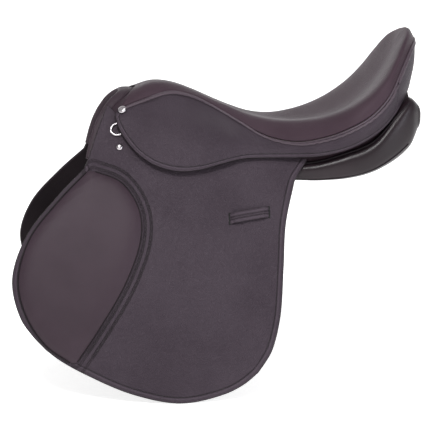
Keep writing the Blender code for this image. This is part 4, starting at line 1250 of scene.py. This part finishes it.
def make_throat(f):
    """Leather that closes the space between the seat's front edge and the roll."""
    front = seat_rows(12, 2, SEAT_END)[0]
    line = [flip(p) for p in reversed(front)] + front[1:]
    line = resample(line, 48)
    roll = sample([(x, -y, z) for x, y, z in FACING], 60, 0.0, 0.52)
    roll = resample([flip(p) for p in reversed(roll)] + roll[1:], 48)
    rows = []
    for a, b in zip(line, roll):
        a, b = a + Vector((1.5, 0, -3.0)), b + Vector((3.0, 0, -0.5))
        rows.append([a.lerp(b, i / 10) - Vector((0, 0, 1.2 * math.sin(math.pi * i / 10)))
                     for i in range(11)])
    single(slab("pommel_throat", rows, 0.9, -0.9, f["pad"], toward=(0, 0, 1),
                back=f["flesh"]))


def make_metal(f):
    c = Vector((-207.5, -63.5, 101.5))
    out = Vector((-0.25, -0.66, 0.70)).normalized()
    nail = turned("nail", c + out * 2.2, out,
                  ((0, 5.0), (0.2, 5.6), (0.7, 6.0), (1.3, 5.9), (2.2, 5.2), (2.9, 3.9),
                   (3.3, 2.4), (3.35, 1.6), (3.1, 0.9), (3.0, 0.2)), f["nickel"], 48)
    both(nail, "pommel_nail_head", "saddle", "pommel_nail", slot="nickel_plate")
    c = hung(-213, 52)
    out = out_at(52)
    stud = turned("stud", c + out * (FLAP_T / 2 + GAP), out,
                  ((0, 4.2), (0.2, 4.6), (0.7, 4.8), (1.3, 4.6), (2.1, 3.9), (2.8, 2.8),
                   (3.2, 1.5), (3.3, 0.3)), f["nickel"], 48)
    both(stud, "flap_stud_head", "saddle", "flap_stud", slot="nickel_plate")

    out = Vector((0, -0.894, 0.447)).normalized()
    plane_up = Vector((0, 0.447, 0.894)).normalized()
    ahead = (Vector((-0.92, 0, 0)) - plane_up * 0.39).normalized()
    axis = (plane_up * 0.92 - Vector((0.39, 0, 0))).normalized()
    wire = 1.5
    centre = hung(-211.5, 76.5) + out * (FLAP_T / 2 + GAP + wire + 1.0)
    path = []
    for i in range(96):
        c, d = math.cos(math.pi * i / 48), math.sin(math.pi * i / 48)
        if c < 0:
            c, d = -abs(c) ** 0.5, math.copysign(abs(d) ** 0.5, d)
        path.append(centre + ahead * (4.0 + (9.5 if c > 0 else 4.0) * c) + axis * 8.4 * d)
    dee = tube("dee", resample(path + path[:1], 96)[:-1], wire, f["nickel"], 14, closed=True)
    both(dee, "pommel_dee_wire", "dee", "pommel_dee", slot="nickel_plate")

    low = -wire - 0.45
    loop = [(-9.0, low + 0.3), (-5.0, low + 0.35), (-2.9, low + 0.5), (-2.5, 0.6),
            (-1.6, 2.1), (0.2, 2.75), (1.7, 2.2), (2.6, 0.7), (2.85, low + 0.5),
            (3.4, low + 0.3)]
    fine = sample([Vector((u, h, 0)) for u, h in loop], 40)
    rows = [[centre + ahead * p.x + out * p.y + axis * d for d in (-2.4, -0.8, 0.8, 2.4)]
            for p in fine]
    chape = slab("chape", rows, 0.5, -0.5, f["dark"], toward=tuple(out))
    both(chape, "dee_chape_leather", "saddle", "dee_chape", slot="grained_leather")


def dress_frame(f, frame):
    """Finishes for the tree, springs, bars and webs that stay as built."""
    kinds = {"tree_frame": "wood", "gullet_plate": "steel", "seat_web": "linen",
             "spring_strip": "steel", "stirrup_bar": "steel", "bar_catch": "steel",
             "catch_pin": "steel"}
    for name, obj in frame["nodes"].items():
        key = name.split("_", 1)[1] if name.startswith(("near_", "off_")) else name
        if key in kinds:
            obj.data.materials.clear()
            obj.data.materials.append(f[kinds[key]])


# ---- camera and light -----------------------------------------------------
def area(name, where, at, size, power, colour=(1, 1, 1)):
    light = bpy.data.lights.new(name, "AREA")
    light.shape = "RECTANGLE"
    light.size, light.size_y = size
    light.energy = power
    light.color = colour
    obj = placed(name, light)
    obj.location = where
    obj.rotation_euler = (Vector(at) - Vector(where)).to_track_quat("-Z", "Y").to_euler()


def studio(floor_z):
    az, el = math.radians(CAMERA["azimuth"]), math.radians(CAMERA["elevation"])
    target = Vector(CAMERA["target"])
    back = Vector((math.sin(az) * math.cos(el), -math.cos(az) * math.cos(el), math.sin(el)))
    cam = bpy.data.cameras.new("camera")
    cam.lens, cam.sensor_width = CAMERA["lens"], 36.0
    obj = placed("camera", cam)
    obj.location = target + back * CAMERA["distance"]
    obj.rotation_euler = (-back).to_track_quat("-Z", "Y").to_euler()
    bpy.context.scene.camera = obj

    paper = Nodes("pale_floor")
    paper.done(Base_Color=paper.mix(paper.noise(3.0), (0.90, 0.90, 0.90, 1),
                                    (0.92, 0.92, 0.92, 1)), Roughness=0.9,
               Emission_Color=(1.0, 1.0, 1.0, 1.0), Emission_Strength=0.7)
    for name, corners in (
            ("floor", [(-8, -8, floor_z), (8, -8, floor_z), (8, 6, floor_z),
                       (-8, 6, floor_z)]),
            ("backdrop", [(-8, 6, floor_z), (8, 6, floor_z), (8, 6, 6), (-8, 6, 6)])):
        mesh = bpy.data.meshes.new(name)
        mesh.from_pydata(corners, [], [(0, 1, 2, 3)])
        mesh.materials.append(paper.mat)
        placed(name, mesh)

    world = bpy.data.worlds.new("studio")
    world.use_nodes = True
    world.node_tree.nodes["Background"].inputs[0].default_value = (1.0, 1.0, 1.0, 1.0)
    world.node_tree.nodes["Background"].inputs[1].default_value = 0.42
    bpy.context.scene.world = world
    bpy.context.scene.view_settings.view_transform = "Standard"
    area("key", (-0.5, -1.9, 1.8), (0, 0, 0), (0.6, 0.5), 46.0)
    area("top", (0.1, -0.9, 1.9), (0.0, 0, 0.1), (0.5, 0.4), 9.0)
    area("side", (1.5, -1.3, 0.4), (0.1, 0, 0), (0.4, 0.8), 8.0, (0.88, 0.92, 1.0))


def main():
    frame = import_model()
    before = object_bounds()
    f = finishes()
    for make in (make_flap, make_knee, make_keeper, make_skirt, make_seat, make_sweat,
                 make_straps, make_panels, make_gusset, make_facing, make_throat, make_metal):
        make(f)
    dress_frame(f, frame)
    studio(before[0].z - 0.002)


main()
